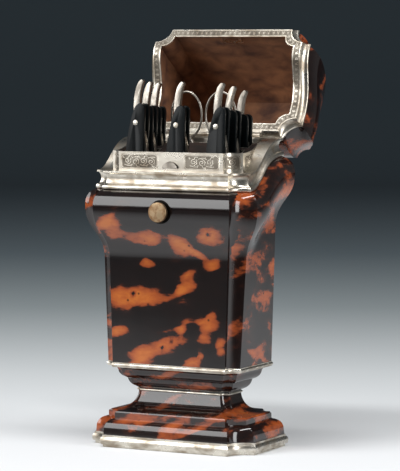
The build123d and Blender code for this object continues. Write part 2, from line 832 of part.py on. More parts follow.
def lid_moulding_chain():
    """The silver moulding round the lid's edge: a hollow under a round bead."""
    low = LID_LEVEL + LID_FRAME_SHEET
    top = LID_LEVEL + LID_MOULDING_HEIGHT
    bead = top - 2.0
    return profile(
        lid_out(LID_RIM_OUT, low),
        (
            lid_out(LID_RIM_OUT + 0.4, low + 1.6),
            lid_out(LID_RIM_OUT + 1.2, bead - 0.3),
            lid_out(LID_MOULDING_OUT - 0.5, bead),
        ),
        (
            lid_out(LID_MOULDING_OUT + 0.2, bead + 0.4),
            lid_out(LID_MOULDING_OUT + 0.2, top - 0.4),
            lid_out(LID_MOULDING_OUT - 0.6, top),
        ),
    )


def lid_chain():
    """The outside of the lid above its moulding: a swelling wall that rounds in to a flat top."""
    base = LID_LEVEL + LID_MOULDING_HEIGHT
    return profile(
        lid_out(LID_MOULDING_OUT - 1.4, base),
        (
            lid_out(LID_SWELL - 0.6, base + 2.5),
            lid_out(LID_SWELL, base + 7.0),
            lid_out(LID_SWELL, base + 12.0),
        ),
        (
            lid_out(LID_SWELL, base + 20.0, 0.8),
            lid_out(5.0, base + 29.0, 0.5),
            lid_out(1.6, base + 38.0, 0.28),
        ),
        (
            lid_out(-1.4, base + 46.0, 0.1),
            lid_out(-5.0, LID_TOP - 2.2, 0.0),
            lid_out(-9.5, LID_TOP - 0.8, 0.0),
        ),
        (lid_out(-12.5, LID_TOP, 0.0),),
    )


def lid_wood_chain():
    """The lid's wood: drawn in by its veneer, and lowered by it more and more over the top."""
    chain = []
    for stations in shifted(lid_chain(), -VENEER):
        row = []
        for width, depth, notch, level, lift in stations:
            over_top = (level - LID_LEVEL) / (LID_TOP - LID_LEVEL)
            row.append((width, depth, notch, level - VENEER * over_top**3, lift))
        chain.append(row)
    return chain


def lid_cavity_chain(wall=0.0):
    """The inside of the lid: walls hollowed to clear the razors as it swings, and a flat ceiling."""
    mouth = LID_MOUTH_OUT + wall
    ceiling = LID_TOP - LID_TOP_WALL + wall
    lower, upper = halves(
        [
            lid_out(mouth, LID_LEVEL + LID_FRAME_SHEET),
            lid_out(mouth + 3.0, LID_LEVEL + 15.0, 0.8),
            lid_out(mouth + 0.8, LID_LEVEL + 34.0, 0.42),
            lid_out(mouth - 5.0, LID_LEVEL + 52.0, 0.15),
        ]
    )
    return [lower, *halves(upper), [upper[-1], lid_out(mouth - 8.7, ceiling, 0.0)]]


def lid_layers(wood, hollow, low, top):
    """The lid's wood as the three layers that it is glued up from, joined at the chains' own stations."""
    foot = ring(
        lid_out(LID_BLOCK_OUT, low), lid_out(LID_BLOCK_OUT, top), wood[:1], backwards(hollow[:1]), ogee=RIM_OGEE
    )
    middle = ring(wood[1:2], backwards(hollow[1:2]), ogee=RIM_OGEE)
    crown = turned(path(backwards(wood[2:]), hollow[2:]), RIM_OGEE)
    return Compound([foot, middle, crown])


def make_lid(parts):
    """The lid: a wooden cap, veneered outside and lined inside, on a flat silver frame."""
    outer, wood = lid_chain(), lid_wood_chain()
    sides = len(outer) // 2
    parts["lid_top_veneer"] = turned(path(backwards(outer[sides:]), wood[sides:]), RIM_OGEE)
    for name, chosen in (("corner", CORNERS), ("wall", (FRONT, RIGHT, BACK, LEFT))):
        panels = [panel(outer[:sides], wood[:sides], RIM_OGEE, [i]) for i in chosen]
        parts[f"lid_{name}_veneers"] = Compound(panels)

    low, top = LID_LEVEL + LID_FRAME_SHEET, LID_LEVEL + LID_MOULDING_HEIGHT
    inside, lined = lid_cavity_chain(), lid_cavity_chain(LID_LINING)
    edge = LID_RIM_OUT - LID_FRAME_WIDTH
    hollow = lid_cavity_chain(LID_LINING + LID_PASTE_GAP)
    parts["lid_carcase"] = lid_layers(wood, hollow, low, top)
    parts["lid_lining"] = turned(path(backwards(lined), inside), RIM_OGEE)
    parts["lid_rim_frame"] = ring(
        lid_out(LID_RIM_OUT, LID_LEVEL),
        lid_out(LID_RIM_OUT, low),
        lid_out(edge, low),
        lid_out(edge, LID_LEVEL),
        ogee=RIM_OGEE,
    )
    parts["lid_moulding"] = ring(
        lid_moulding_chain(),
        outer[0][0],
        wood[0][0],
        lid_out(LID_BLOCK_OUT, top),
        lid_out(LID_BLOCK_OUT, low),
        ogee=RIM_OGEE,
    )
    make_keeper(parts)


def make_keeper(parts):
    """The little silver plate inside the lid's front edge, with the slot that the nose catches in."""
    front = -(SHOULDER.half_depth + LID_RIM_OUT - LID_FRAME_WIDTH)
    half = NOSE_WIDTH / 2 + 1.6
    low = LID_LEVEL + LID_FRAME_SHEET
    top = LID_LEVEL + KEEPER_HEIGHT - 0.2
    plate = box((-half, front - KEEPER_SHEET, low), (half, front, top))
    slot_face = nose_window(CATCH_ROOM).moved(Location((0, front - KEEPER_SHEET - 1.0, 0)))
    slot = Solid.extrude(slot_face, Vector(0, KEEPER_SHEET + 2.0, 0))
    parts["lid_keeper"] = whole(plate.cut(slot))


# Hinge, built with the lid closed

def make_hinge(parts):
    """A butt hinge let into the rim and the lid's frame, its knuckles standing behind the case."""
    pitch = HINGE_LENGTH / HINGE_KNUCKLES
    start = -HINGE_LENGTH / 2
    ends = (start - BEYOND, HINGE_Y, HINGE_Z), (-start + BEYOND, HINGE_Y, HINGE_Z)
    pin_hole = rod(HINGE_PIN_RADIUS + RUNNING, *ends)
    edge_y = HINGE_Y - HINGE_STAND_OFF - HINGE_LEAF_DEPTH
    body_top = RIM_LEVEL + RIM_RISE
    lid_low = LID_LEVEL + RIM_RISE
    leaves = {}
    for owner, low, high in (
        ("body", body_top - HINGE_LEAF_SHEET, body_top),
        ("lid", lid_low, lid_low + HINGE_LEAF_SHEET),
    ):
        leaf = box((start, edge_y, low), (-start, HINGE_Y - KNUCKLE_RADIUS - 0.3, high))
        knuckles = []
        for i in range(HINGE_KNUCKLES):
            if (i % 2 == 0) != (owner == "body"):
                continue
            left = start + i * pitch + KNUCKLE_GAP / 2
            right = left + pitch - KNUCKLE_GAP
            knuckles.append(rod(KNUCKLE_RADIUS, (left, HINGE_Y, HINGE_Z), (right, HINGE_Y, HINGE_Z)))
            knuckles.append(box((left, edge_y, low), (right, HINGE_Y, high)))
        leaves[owner] = whole(leaf.fuse(*knuckles).cut(pin_hole))
    parts["hinge_body_leaf"] = leaves["body"]
    parts["hinge_lid_leaf"] = leaves["lid"]
    parts["hinge_pin"] = rod(HINGE_PIN_RADIUS, (start, HINGE_Y, HINGE_Z), (-start, HINGE_Y, HINGE_Z))
    parts["rim_moulding"] = whole(parts["rim_moulding"].cut(leaves["body"]))
    parts["lid_rim_frame"] = whole(parts["lid_rim_frame"].cut(leaves["lid"]))


# Razors

def handle_face(foot):
    """One scale's outline from the front, with the pivot at the origin: a round top and a drawn-in foot."""
    right = HANDLE_WIDTH / 2 - PIN_OFFSET
    left = right - HANDLE_WIDTH
    low_left = right - HANDLE_FOOT_WIDTH
    end = foot + HANDLE_FOOT_WIDTH / 2
    shoulder = (right + 0.9, 0, HANDLE_TOP - 4.0)
    crown = (right - 2.4, 0, HANDLE_TOP)
    waist = (left + 3.2, 0, 0.0)
    hip = (left, 0, -22.0)
    edges = [
        Edge.make_line((right, 0, end), (right, 0, -16.0)),
        Edge.make_line((right, 0, -16.0), shoulder),
        Edge.make_bezier(shoulder, (right + 1.0, 0, HANDLE_TOP - 0.8), (right - 0.4, 0, HANDLE_TOP), crown),
        Edge.make_bezier(crown, (left + 6.6, 0, HANDLE_TOP), (left + 4.6, 0, 6.0), waist),
        Edge.make_bezier(waist, (left + 1.8, 0, -6.0), (left, 0, -13.0), hip),
        Edge.make_bezier(hip, (left, 0, -70.0), (low_left, 0, end + 40.0), (low_left, 0, end)),
        Edge.make_three_point_arc((low_left, 0, end), ((low_left + right) / 2, 0, foot), (right, 0, end)),
    ]
    return Face(Wire(edges))


def tail_face():
    """The horn-shaped tail over the pivot and the tang below it."""
    half = TAIL_WIDTH / 2
    left_foot, right_foot = (-half - 0.6, 0, -18.0), (half + 0.8, 0, -18.0)
    left_root, right_root = (-half - 0.8, 0, 6.0), (half - 0.6, 0, 6.0)
    left_tip = (TAIL_LEAN - 0.9, 0, TAIL_LENGTH - 0.4)
    right_tip = (TAIL_LEAN + 1.0, 0, TAIL_LENGTH - 1.6)
    left_sweep = (-half - 0.8, 0, 14.0), (-half + 0.2, 0, TAIL_LENGTH - 3.0)
    right_sweep = (TAIL_LEAN - 0.8, 0, TAIL_LENGTH - 6.0), (half - 0.7, 0, 14.0)
    edges = [
        Edge.make_line(left_foot, left_root),
        Edge.make_bezier(left_root, *left_sweep, left_tip),
        Edge.make_three_point_arc(left_tip, (TAIL_LEAN + 0.5, 0, TAIL_LENGTH), right_tip),
        Edge.make_bezier(right_tip, *right_sweep, right_root),
        Edge.make_line(right_root, right_foot),
        Edge.make_line(right_foot, left_foot),
    ]
    return Face(Wire(edges))


def blade_face():
    """The blade below the tang: its spine stands proud of the scales and its edge lies between them."""
    right = HANDLE_WIDTH / 2 - PIN_OFFSET
    edge = right - HANDLE_WIDTH + 0.8
    spine = right + SPINE_PROUD
    points = [
        (-2.0, 0, -6.0),
        (right - 0.4, 0, -5.0),
        (spine, 0, -17.0),
        (spine, 0, -BLADE_LENGTH),
        (edge + 2.0, 0, -BLADE_LENGTH + 1.0),
        (edge, 0, -BLADE_LENGTH + 6.0),
        (edge, 0, -36.0),
        (-2.6, 0, -28.0),
    ]
    return Face(Wire.make_polygon(points))


def thickened(face, low, high):
    """A face square to Y drawn between two depths."""
    return Solid.extrude(face.moved(Location((0, low, 0))), Vector(0, high - low, 0))


def make_razor(parts, name):
    """One razor, standing closed in its slot with its pivot end up."""
    x, y = slot_places()[name]
    pin_x = x + PIN_OFFSET
    level = RAZOR_PIN_LEVELS[name]
    foot = RAZOR_SEAT + STANDING_GAP - level
    gap = BLADE_THICKNESS / 2 + BLADE_ROOM
    outer = gap + SCALE_THICKNESS
    place = Location((pin_x, y, level))
    foot_pin = foot + HANDLE_FOOT_WIDTH
    foot_pin_x = HANDLE_WIDTH / 2 - PIN_OFFSET - HANDLE_FOOT_WIDTH / 2

    pins = []
    for px, pz in ((0.0, 0.0), (foot_pin_x, foot_pin)):
        shaft = rod(RAZOR_PIN_RADIUS, (px, -outer, pz), (px, outer, pz))
        heads = [
            rod(RAZOR_WASHER_RADIUS, (px, -outer - RAZOR_WASHER_PROUD, pz), (px, -outer, pz)),
            rod(RAZOR_WASHER_RADIUS, (px, outer, pz), (px, outer + RAZOR_WASHER_PROUD, pz)),
        ]
        pins.append(whole(shaft.fuse(*heads)))

    face = handle_face(foot)
    scales = []
    for low, high in ((-outer, -gap), (gap, outer)):
        scales.append(whole(thickened(face, low, high).cut(*pins)))
    wedge_top = foot + WEDGE_HEIGHT
    wedge = thickened(face, -gap, gap) & box((-BEYOND * 3, -gap, foot - 1.0), (BEYOND * 3, gap, wedge_top))
    scales.append(whole(whole(wedge).cut(*pins)))

    thick = BLADE_THICKNESS / 2
    tang = thickened(tail_face(), -thick, thick)
    blade = thickened(blade_face(), -thick, thick)
    spine = HANDLE_WIDTH / 2 - PIN_OFFSET + SPINE_PROUD
    edge = spine - HANDLE_WIDTH - SPINE_PROUD
    hollow = []
    for side in (-1, 1):
        corners = [(spine - 3.0, side * thick, 0), (edge, side * 0.2, 0), (edge, side * thick * 2, 0)]
        corners.append((spine - 3.0, side * thick * 2, 0))
        grind = Face(Wire.make_polygon([(cx, cy, -BLADE_LENGTH - 1.0) for cx, cy, cz in corners]))
        hollow.append(Solid.extrude(grind, Vector(0, 0, BLADE_LENGTH - 24.0)))
    hole = rod(RAZOR_PIN_RADIUS + RUNNING, (0, -outer, 0), (0, outer, 0))
    blade = whole(whole(tang.fuse(blade)).cut(hole, *hollow))

    parts[f"razor_{name}_scales"] = Compound([s.moved(place) for s in scales])
    parts[f"razor_{name}_blade"] = blade.moved(place)
    parts[f"razor_{name}_pins"] = Compound([p.moved(place) for p in pins])


# Scissors

def make_scissors(parts):
    """Scissors standing points down: two finger rings, shanks that cross at the screw, and blades."""
    middle = RING_TOP - RING_HEIGHT / 2
    half_height = (RING_HEIGHT - RING_WIRE) / 2
    half_width = (RING_WIDTH - RING_WIRE) / 2
    tip = RACK_LEVEL + 0.2
    wire = RING_WIRE / 2
    halves = []
    for side, low in ((-1, -SCISSORS_SHEET), (1, 0.0)):
        layer = low + SCISSORS_SHEET / 2
        ring_x = side * (RING_PARTING / 2 + RING_WIDTH / 2)
        ring_plane = Plane(origin=(ring_x, layer, middle), x_dir=(1, 0, 0), z_dir=(0, -1, 0))
        path = Edge.make_ellipse(half_width, half_height, ring_plane)
        section = Plane(origin=path.position_at(0), z_dir=path.tangent_at(0))
        ring = sweep(section * Circle(wire), path=path).solids()[0]
        foot_x, foot_z = ring_x * 0.84, middle - half_height
        shank = [
            (foot_x - 1.1, 0, foot_z + 0.5),
            (foot_x + 1.1, 0, foot_z + 0.5),
            (side * 3.6 + 1.3, 0, foot_z - 6.0),
            (side * 1.0 + 1.6, 0, SCISSORS_PIVOT + 4.0),
            (-side * 0.6 + 2.6, 0, SCISSORS_PIVOT),
            (-side * 2.2 + 1.4, 0, SCISSORS_PIVOT - 6.0),
            (-side * 2.4 + 0.4, 0, tip),
            (-side * 2.4 - 0.4, 0, tip),
            (-side * 2.2 - 1.4, 0, SCISSORS_PIVOT - 6.0),
            (-side * 0.6 - 2.6, 0, SCISSORS_PIVOT),
            (side * 1.0 - 1.6, 0, SCISSORS_PIVOT + 4.0),
            (side * 3.6 - 1.3, 0, foot_z - 6.0),
        ]
        limb = thickened(Face(Wire.make_polygon(shank)), low, low + SCISSORS_SHEET)
        halves.append(whole(ring.fuse(limb)))
    head = (0, -SCISSORS_SHEET - 0.4, SCISSORS_PIVOT)
    screw = rod(SCREW_RADIUS, head, (0, SCISSORS_SHEET, SCISSORS_PIVOT))
    place = Location((SCISSORS_X, SCISSORS_Y, 0))
    parts["scissors_left_half"] = whole(halves[0].cut(screw)).moved(place)
    parts["scissors_right_half"] = whole(halves[1].cut(screw)).moved(place)
    parts["scissors_screw"] = screw.moved(place)


LID_NODES = [
    "lid_carcase",
    "lid_lining",
    "lid_rim_frame",
    "lid_moulding",
    "lid_wall_veneers",
    "lid_corner_veneers",
    "lid_top_veneer",
    "lid_keeper",
    "hinge_lid_leaf",
]


def open_lid(parts):
    """Turns the lid and its leaf of the hinge from closed to where the open lid rests."""
    axis = Axis((0, HINGE_Y, HINGE_Z), (1, 0, 0))
    for name in LID_NODES:
        parts[name] = parts[name].rotate(axis, -LID_OPEN_ANGLE)


def main():
    os.makedirs("parts", exist_ok=True)
    parts = {}
    make_foot(parts)
    make_body(parts)
    make_lid(parts)
    make_hinge(parts)
    open_lid(parts)
    for name in RAZOR_PIN_LEVELS:
        make_razor(parts, name)
    make_scissors(parts)
    for name, shape in parts.items():
        export_step(shape, f"parts/{name}.step")
    print("nodes", len(parts), "hinge at", round(HINGE_Y, 2), round(HINGE_Z, 2))
    print("spring root at", round(SPRING_FRONT + SPRING_THICKNESS / 2, 2), SPRING_ROOT)


main()
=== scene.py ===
import json
import logging
import math
from collections.abc import Sequence
from dataclasses import dataclass

import bmesh
import bpy
from mathutils import Matrix, Vector

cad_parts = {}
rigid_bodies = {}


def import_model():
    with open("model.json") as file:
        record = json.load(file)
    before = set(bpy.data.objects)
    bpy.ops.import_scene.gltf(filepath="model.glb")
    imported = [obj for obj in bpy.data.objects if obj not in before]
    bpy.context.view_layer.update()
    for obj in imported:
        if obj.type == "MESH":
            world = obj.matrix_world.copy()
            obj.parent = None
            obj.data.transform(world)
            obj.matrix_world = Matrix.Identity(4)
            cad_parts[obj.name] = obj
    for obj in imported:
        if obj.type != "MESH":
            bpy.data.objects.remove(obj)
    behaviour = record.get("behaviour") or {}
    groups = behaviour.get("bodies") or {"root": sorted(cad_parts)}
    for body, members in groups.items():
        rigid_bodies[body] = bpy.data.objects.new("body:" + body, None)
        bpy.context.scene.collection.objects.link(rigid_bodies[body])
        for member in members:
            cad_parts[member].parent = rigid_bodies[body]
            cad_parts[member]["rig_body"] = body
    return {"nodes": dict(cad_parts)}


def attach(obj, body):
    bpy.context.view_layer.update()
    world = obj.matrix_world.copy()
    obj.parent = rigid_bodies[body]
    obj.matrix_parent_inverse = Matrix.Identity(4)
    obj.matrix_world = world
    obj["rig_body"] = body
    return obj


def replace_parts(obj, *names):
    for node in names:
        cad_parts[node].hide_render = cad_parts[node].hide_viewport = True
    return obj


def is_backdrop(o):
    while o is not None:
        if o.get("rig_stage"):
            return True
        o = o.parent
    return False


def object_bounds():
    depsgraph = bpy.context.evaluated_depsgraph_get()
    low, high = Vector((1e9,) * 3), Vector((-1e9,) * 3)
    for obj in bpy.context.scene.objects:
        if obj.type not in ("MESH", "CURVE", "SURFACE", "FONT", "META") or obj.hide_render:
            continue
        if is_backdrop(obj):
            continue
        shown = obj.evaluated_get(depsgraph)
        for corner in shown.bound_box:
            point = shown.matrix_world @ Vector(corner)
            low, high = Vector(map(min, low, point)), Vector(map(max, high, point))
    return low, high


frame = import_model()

# A standing razor case in tortoiseshell and silver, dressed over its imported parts.
# The forms repeat the formulas of the part's source, in millimetres, and become metres in their meshes.

LOG = logging.getLogger("razor_case")
MM = 0.001
SHARP_ANGLE = math.radians(32)
WEAR_ANGLE = math.radians(38)
FLAT_ANGLE = math.radians(0.6)
WELD = 1e-5

Station = tuple[float, float, float, float, float]
Chain = list[list[Station]]
Point = tuple[float, float, float]
Flat = tuple[float, float]
Spot = tuple[Vector, Vector, Vector]
Item = bpy.types.Object
Tree = bpy.types.NodeTree
Node = bpy.types.Node
Socket = bpy.types.NodeSocket
Material = bpy.types.Material
Mesh = bmesh.types.BMesh


# Forms

NOTCH_GROWTH = 0.42


@dataclass(frozen=True)
class Outline:
    """A rectangle with a concave quarter circle at each corner."""

    half_width: float
    half_depth: float
    notch: float

    def grown(self, out: float) -> "Outline":
        """The outline that stands out by this much."""
        return Outline(self.half_width + out, self.half_depth + out, self.notch + NOTCH_GROWTH * out)

    def mixed(self, other: "Outline", share: float) -> "Outline":
        """The outline part of the way from this one to another."""
        return Outline(
            self.half_width + (other.half_width - self.half_width) * share,
            self.half_depth + (other.half_depth - self.half_depth) * share,
            self.notch + (other.notch - self.notch) * share,
        )

    def at(self, level: float, lift: float = 0.0) -> Station:
        """The outline at a level, with the share of the ogee's rise that it takes part in."""
        return (self.half_width, self.half_depth, self.notch, level, lift)


@dataclass(frozen=True)
class Ogee:
    """The S-shaped climb of the sides from front to back."""

    middle: float
    rise: float

    def side(self, share: float, reach: float) -> tuple[float, float]:
        """The depth, and the part of the rise, at a share of the way from front to back."""
        rest = 1 - share
        depth = reach * (share**3 - rest**3) + 3 * self.middle * share * rest
        return depth, self.rise * share * share * (3 - 2 * share)

    def height(self, depth: float, reach: float) -> float:
        """The part of the rise that is reached at a depth."""
        if abs(depth) >= reach:
            return self.rise if depth > 0 else 0.0
        low, high = 0.0, 1.0
        for _ in range(30):
            half = (low + high) / 2
            if self.side(half, reach)[0] < depth:
                low = half
            else:
                high = half
        return self.side(low, reach)[1]


PLINTH = Outline(54.0, 33.35, 12.0)
NECK = Outline(29.6, 11.5, 3.8)
WAIST = Outline(43.6, 27.2, 6.6)
SHOULDER = Outline(46.7, 27.2, 7.9)
COLLAR = Outline(42.8, 24.2, 8.5)
RIM_OGEE = Ogee(-5.0, 19.0)
COLLAR_OGEE = Ogee(3.0, 6.8)
LEVEL = Ogee(0.0, 0.0)
VENEER = 1.3
MOUNT_WALL = 1.4
HINGE = Vector((0.0, 33.4, 182.4))
OPEN_ANGLE = math.radians(-126)
OPENED = (
    Matrix.Translation(HINGE * MM)
    @ Matrix.Rotation(OPEN_ANGLE, 4, "X")
    @ Matrix.Translation(-HINGE * MM)
)


def profile(start: Station, *steps: tuple[Station, ...]) -> Chain:
    """A chain of stations: a step of one station is a line, and a step of three a Bezier curve."""
    chain, here = [], start
    for step in steps:
        chain.append([here, *step])
        here = step[-1]
    return chain


def backwards(chain: Chain) -> Chain:
    """The same chain from its end to its start."""
    return [list(reversed(stations)) for stations in reversed(chain)]


def shifted(chain: Chain, out: float) -> Chain:
    """The same chain standing out by this much."""
    return [
        [(w + out, d + out, n + NOTCH_GROWTH * out, z, lift) for w, d, n, z, lift in stations]
        for stations in chain
    ]


def sampled(item: Chain | Station, curve_steps: int, line_steps: int) -> list[Station]:
    """The stations along a chain, close enough together for smooth shading.

    Args:
        item: A chain, or a station by itself.
        curve_steps: How many steps a curve gets.
        line_steps: How many steps a line gets.

    Returns:
        The stations in order.
    """
    if isinstance(item, tuple):
        return [item]
    rows: list[Station] = []
    for stations in item:
        count = curve_steps if len(stations) > 2 else line_steps
        for i in range(count + 1):
            share = i / count
            ladder = [tuple(station) for station in stations]
            while len(ladder) > 1:
                ladder = [
                    tuple(a + (b - a) * share for a, b in zip(one, other))
                    for one, other in zip(ladder, ladder[1:])
                ]
            rows.append(ladder[0])
    return rows


def loop_of(station: Station, ogee: Ogee, counts: tuple[int, int, int]) -> list[Point]:
    """The points round a station.

    Args:
        station: The outline, level and lift.
        ogee: The climb of the sides.
        counts: How many steps the front and back, the sides and the corners get.

    Returns:
        The points in millimetres, from the front left corner to the right.
    """
    width, depth, notch, level, lift = station
    across, along, turn = counts
    x, y = width - notch, depth - notch
    top = level + ogee.rise * lift
    quarter = [math.pi / 2 * i / turn for i in range(turn)]
    points = [(-x + 2 * x * i / across, -depth, level) for i in range(across)]
    points += [(width - notch * math.cos(a), -depth + notch * math.sin(a), level) for a in quarter]
    side = [ogee.side(i / along, y) for i in range(along + 1)]
    points += [(width, d, level + lift * h) for d, h in side[:-1]]
    points += [(width - notch * math.sin(a), depth - notch * math.cos(a), top) for a in quarter]
    points += [(x - 2 * x * i / across, depth, top) for i in range(across)]
    points += [(-width + notch * math.cos(a), depth - notch * math.sin(a), top) for a in quarter]
    points += [(-width, d, level + lift * h) for d, h in reversed(side[1:])]
    points += [(-width + notch * math.sin(a), -depth + notch * math.cos(a), level) for a in quarter]
    return points


# Meshes

def linked(name: str, data: bpy.types.ID) -> Item:
    """A new object in the scene that holds this data."""
    item = bpy.data.objects.new(name, data)
    bpy.context.scene.collection.objects.link(item)
    return item


def emptied(name: str, made: Mesh) -> Item:
    """Puts a finished bmesh into a new object as it is."""
    mesh = bpy.data.meshes.new(name)
    made.to_mesh(mesh)
    made.free()
    return linked(name, mesh)


def from_bmesh(name: str, made: Mesh) -> Item:
    """Puts a finished bmesh, in millimetres, into a new object at the origin."""
    bmesh.ops.scale(made, vec=(MM, MM, MM), verts=made.verts)
    return emptied(name, made)


def shaded(item: Item) -> Item:
    """Smooth shading that keeps the creases."""
    for polygon in item.data.polygons:
        polygon.use_smooth = True
    item.data.set_sharp_from_angle(angle=SHARP_ANGLE)
    return item


def swept(
    name: str,
    items: Sequence[Chain | Station],
    ogee: Ogee = LEVEL,
    capped: bool = False,
    counts: tuple[int, int, int] = (10, 14, 8),
    steps: tuple[int, int] = (8, 1),
) -> Item:
    """The closed form that stations sweep.

    Args:
        name: The piece's name.
        items: Chains and stations in order; they close on themselves unless capped.
        ogee: The climb of the sides.
        capped: Whether flat faces close both ends.
        counts: The steps round the outline, as for loop_of.
        steps: The steps along each curve and each line.

    Returns:
        The new object.
    """
    rows: list[Station] = []
    for item in items:
        for station in sampled(item, *steps):
            if not rows or max(abs(a - b) for a, b in zip(rows[-1], station)) > 1e-6:
                rows.append(station)
    if not capped and max(abs(a - b) for a, b in zip(rows[0], rows[-1])) < 1e-6:
        rows.pop()
    made = bmesh.new()
    loops = [[made.verts.new(p) for p in loop_of(row, ogee, counts)] for row in rows]
    pairs = list(zip(loops, loops[1:])) + ([] if capped else [(loops[-1], loops[0])])
    for low, high in pairs:
        for i in range(len(low)):
            j = (i + 1) % len(low)
            made.faces.new((low[i], low[j], high[j], high[i]))
    if capped:
        made.faces.new(list(reversed(loops[0])))
        made.faces.new(loops[-1])
    bmesh.ops.remove_doubles(made, verts=made.verts, dist=WELD)
    bmesh.ops.recalc_face_normals(made, faces=made.faces)
    return shaded(from_bmesh(name, made))


def joined(name: str, items: Sequence[Item]) -> Item:
    """One object made of several, whose meshes it takes."""
    made = bmesh.new()
    for item in items:
        made.from_mesh(item.data)
        bpy.data.objects.remove(item)
    return shaded(emptied(name, made))


def settled(item: Item) -> Item:
    """Turns the result of an object's modifiers into its own plain mesh."""
    graph = bpy.context.evaluated_depsgraph_get()
    mesh = bpy.data.meshes.new_from_object(item.evaluated_get(graph))
    item.modifiers.clear()
    item.data = mesh
    return item


def prism(name: str, outline: Sequence[Point], way: Point) -> Item:
    """A straight prism over a flat outline, drawn along a way, in millimetres."""
    made = bmesh.new()
    near = [made.verts.new(p) for p in outline]
    far = [made.verts.new(tuple(a + b for a, b in zip(p, way))) for p in outline]
    made.faces.new(near)
    made.faces.new(list(reversed(far)))
    for i in range(len(near)):
        j = (i + 1) % len(near)
        made.faces.new((near[j], near[i], far[i], far[j]))
    bmesh.ops.recalc_face_normals(made, faces=made.faces)
    return from_bmesh(name, made)


def cut(item: Item, cutter: Item) -> Item:
    """Takes a cutter's form out of an object, and the cutter away."""
    modifier = item.modifiers.new("cut", "BOOLEAN")
    modifier.object = cutter
    modifier.operation = "DIFFERENCE"
    modifier.solver = "EXACT"
    settled(item)
    bpy.data.objects.remove(cutter)
    return shaded(item)


def softened(node: str, width: float, segments: int = 2) -> Item:
    """A copy of a CAD node with its edges worn round.

    Args:
        node: The CAD node's name.
        width: The rounding's width in millimetres.
        segments: How many faces go round an edge.

    Returns:
        The new object, which replaces the node.
    """
    source = frame["nodes"][node]
    made = bmesh.new()
    made.from_mesh(source.data)
    bmesh.ops.remove_doubles(made, verts=made.verts, dist=2e-6)
    bmesh.ops.dissolve_limit(made, angle_limit=FLAT_ANGLE, verts=made.verts, edges=made.edges)
    item = emptied(f"{node}_worn", made)
    modifier = item.modifiers.new("wear", "BEVEL")
    modifier.width = width * MM
    modifier.segments = segments
    modifier.limit_method = "ANGLE"
    modifier.angle_limit = WEAR_ANGLE
    settled(item)
    shaded(item)
    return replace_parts(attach(item, source["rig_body"]), node)


def wire(
    made: Mesh,
    points: Sequence[Vector],
    normals: Sequence[Vector],
    width: float,
    height: float,
) -> None:
    """Adds a thin closed bar along a line that lies on a surface.

    Args:
        made: The mesh that it joins.
        points: The line, in millimetres.
        normals: The surface's outward direction at each point.
        width: The bar's width.
        height: How far the bar stands proud; it is as deep again in the surface.
    """
    loops = []
    last = len(points) - 1
    for i, (point, normal) in enumerate(zip(points, normals)):
        way = (points[min(i + 1, last)] - points[max(i - 1, 0)]).normalized()
        across = normal.cross(way).normalized() * width / 2
        out = normal * height
        top = across * 0.6
        corners = (point - across - out, point + across - out, point + top + out, point - top + out)
        loops.append([made.verts.new(c) for c in corners])
    for one, other in zip(loops, loops[1:]):
        for i in range(4):
            j = (i + 1) % 4
            made.faces.new((one[i], one[j], other[j], other[i]))
    made.faces.new(list(reversed(loops[0])))
    made.faces.new(loops[-1])


def slab(made: Mesh, rows: Sequence[Sequence[tuple[Vector, Vector]]], proud: float, sunk: float) -> None:
    """Adds a thin closed sheet that lies along a surface.

    Args:
        made: The mesh that it joins.
        rows: A grid of the surface's points, in millimetres, with their outward directions.
        proud: How far the sheet's face stands out.
        sunk: How deep its back lies.
    """
    faces = []
    for depth in (proud, -sunk):
        faces.append([[made.verts.new(p + n * depth) for p, n in row] for row in rows])
    top, back = faces
    for i in range(len(rows) - 1):
        for j in range(len(rows[0]) - 1):
            made.faces.new((top[i][j], top[i][j + 1], top[i + 1][j + 1], top[i + 1][j]))
            made.faces.new((back[i][j], back[i + 1][j], back[i + 1][j + 1], back[i][j + 1]))
    last, end = len(rows) - 1, len(rows[0]) - 1
    edge = [(0, j) for j in range(end + 1)] + [(i, end) for i in range(1, last + 1)]
    edge += [(last, j) for j in range(end - 1, -1, -1)] + [(i, 0) for i in range(last - 1, 0, -1)]
    for (i, j), (k, m) in zip(edge, edge[1:] + edge[:1]):
        made.faces.new((top[i][j], back[i][j], back[k][m], top[k][m]))


# Finishes

def linear(code: str) -> tuple[float, float, float, float]:
    """An sRGB hex colour as linear values."""
    values = [int(code[i : i + 2], 16) / 255 for i in (1, 3, 5)]
    turned = [v / 12.92 if v <= 0.04045 else ((v + 0.055) / 1.055) ** 2.4 for v in values]
    return (*turned, 1.0)


def add(tree: Tree, kind: str, settings: dict | None = None, **inputs) -> Node:
    """Adds a node with its settings and links.

    Args:
        tree: The node tree.
        kind: The node's type name.
        settings: Properties of the node itself.
        inputs: Values or output sockets by input name, with spaces as underscores.

    Returns:
        The new node.
    """
    made = tree.nodes.new(kind)
    for key, value in (settings or {}).items():
        setattr(made, key, value)
    for key, value in inputs.items():
        name = key.replace("_", " ")
        socket = made.inputs[int(key[1:])] if key[0] == "i" and key[1:].isdigit() else made.inputs[name]
        if isinstance(value, Socket):
            tree.links.new(value, socket)
        else:
            socket.default_value = value
    return made


def eased(tree: Tree, value: Socket, near: Flat, far: Flat) -> Socket:
    """A value taken from one range to another and held at its ends."""
    ends = dict(zip(("From_Min", "From_Max", "To_Min", "To_Max"), (*near, *far)))
    return add(tree, "ShaderNodeMapRange", {"clamp": True}, Value=value, **ends).outputs[0]


def mixed(tree: Tree, share: Socket, one: Socket, code: str) -> Socket:
    """A colour that goes over into a plain one by a share."""
    settings = {"data_type": "RGBA"}
    return add(tree, "ShaderNodeMix", settings, i0=share, i6=one, i7=linear(code)).outputs[2]


def spread_of(tree: Tree) -> Socket:
    """The object's own coordinates."""
    return add(tree, "ShaderNodeTexCoord").outputs["Object"]


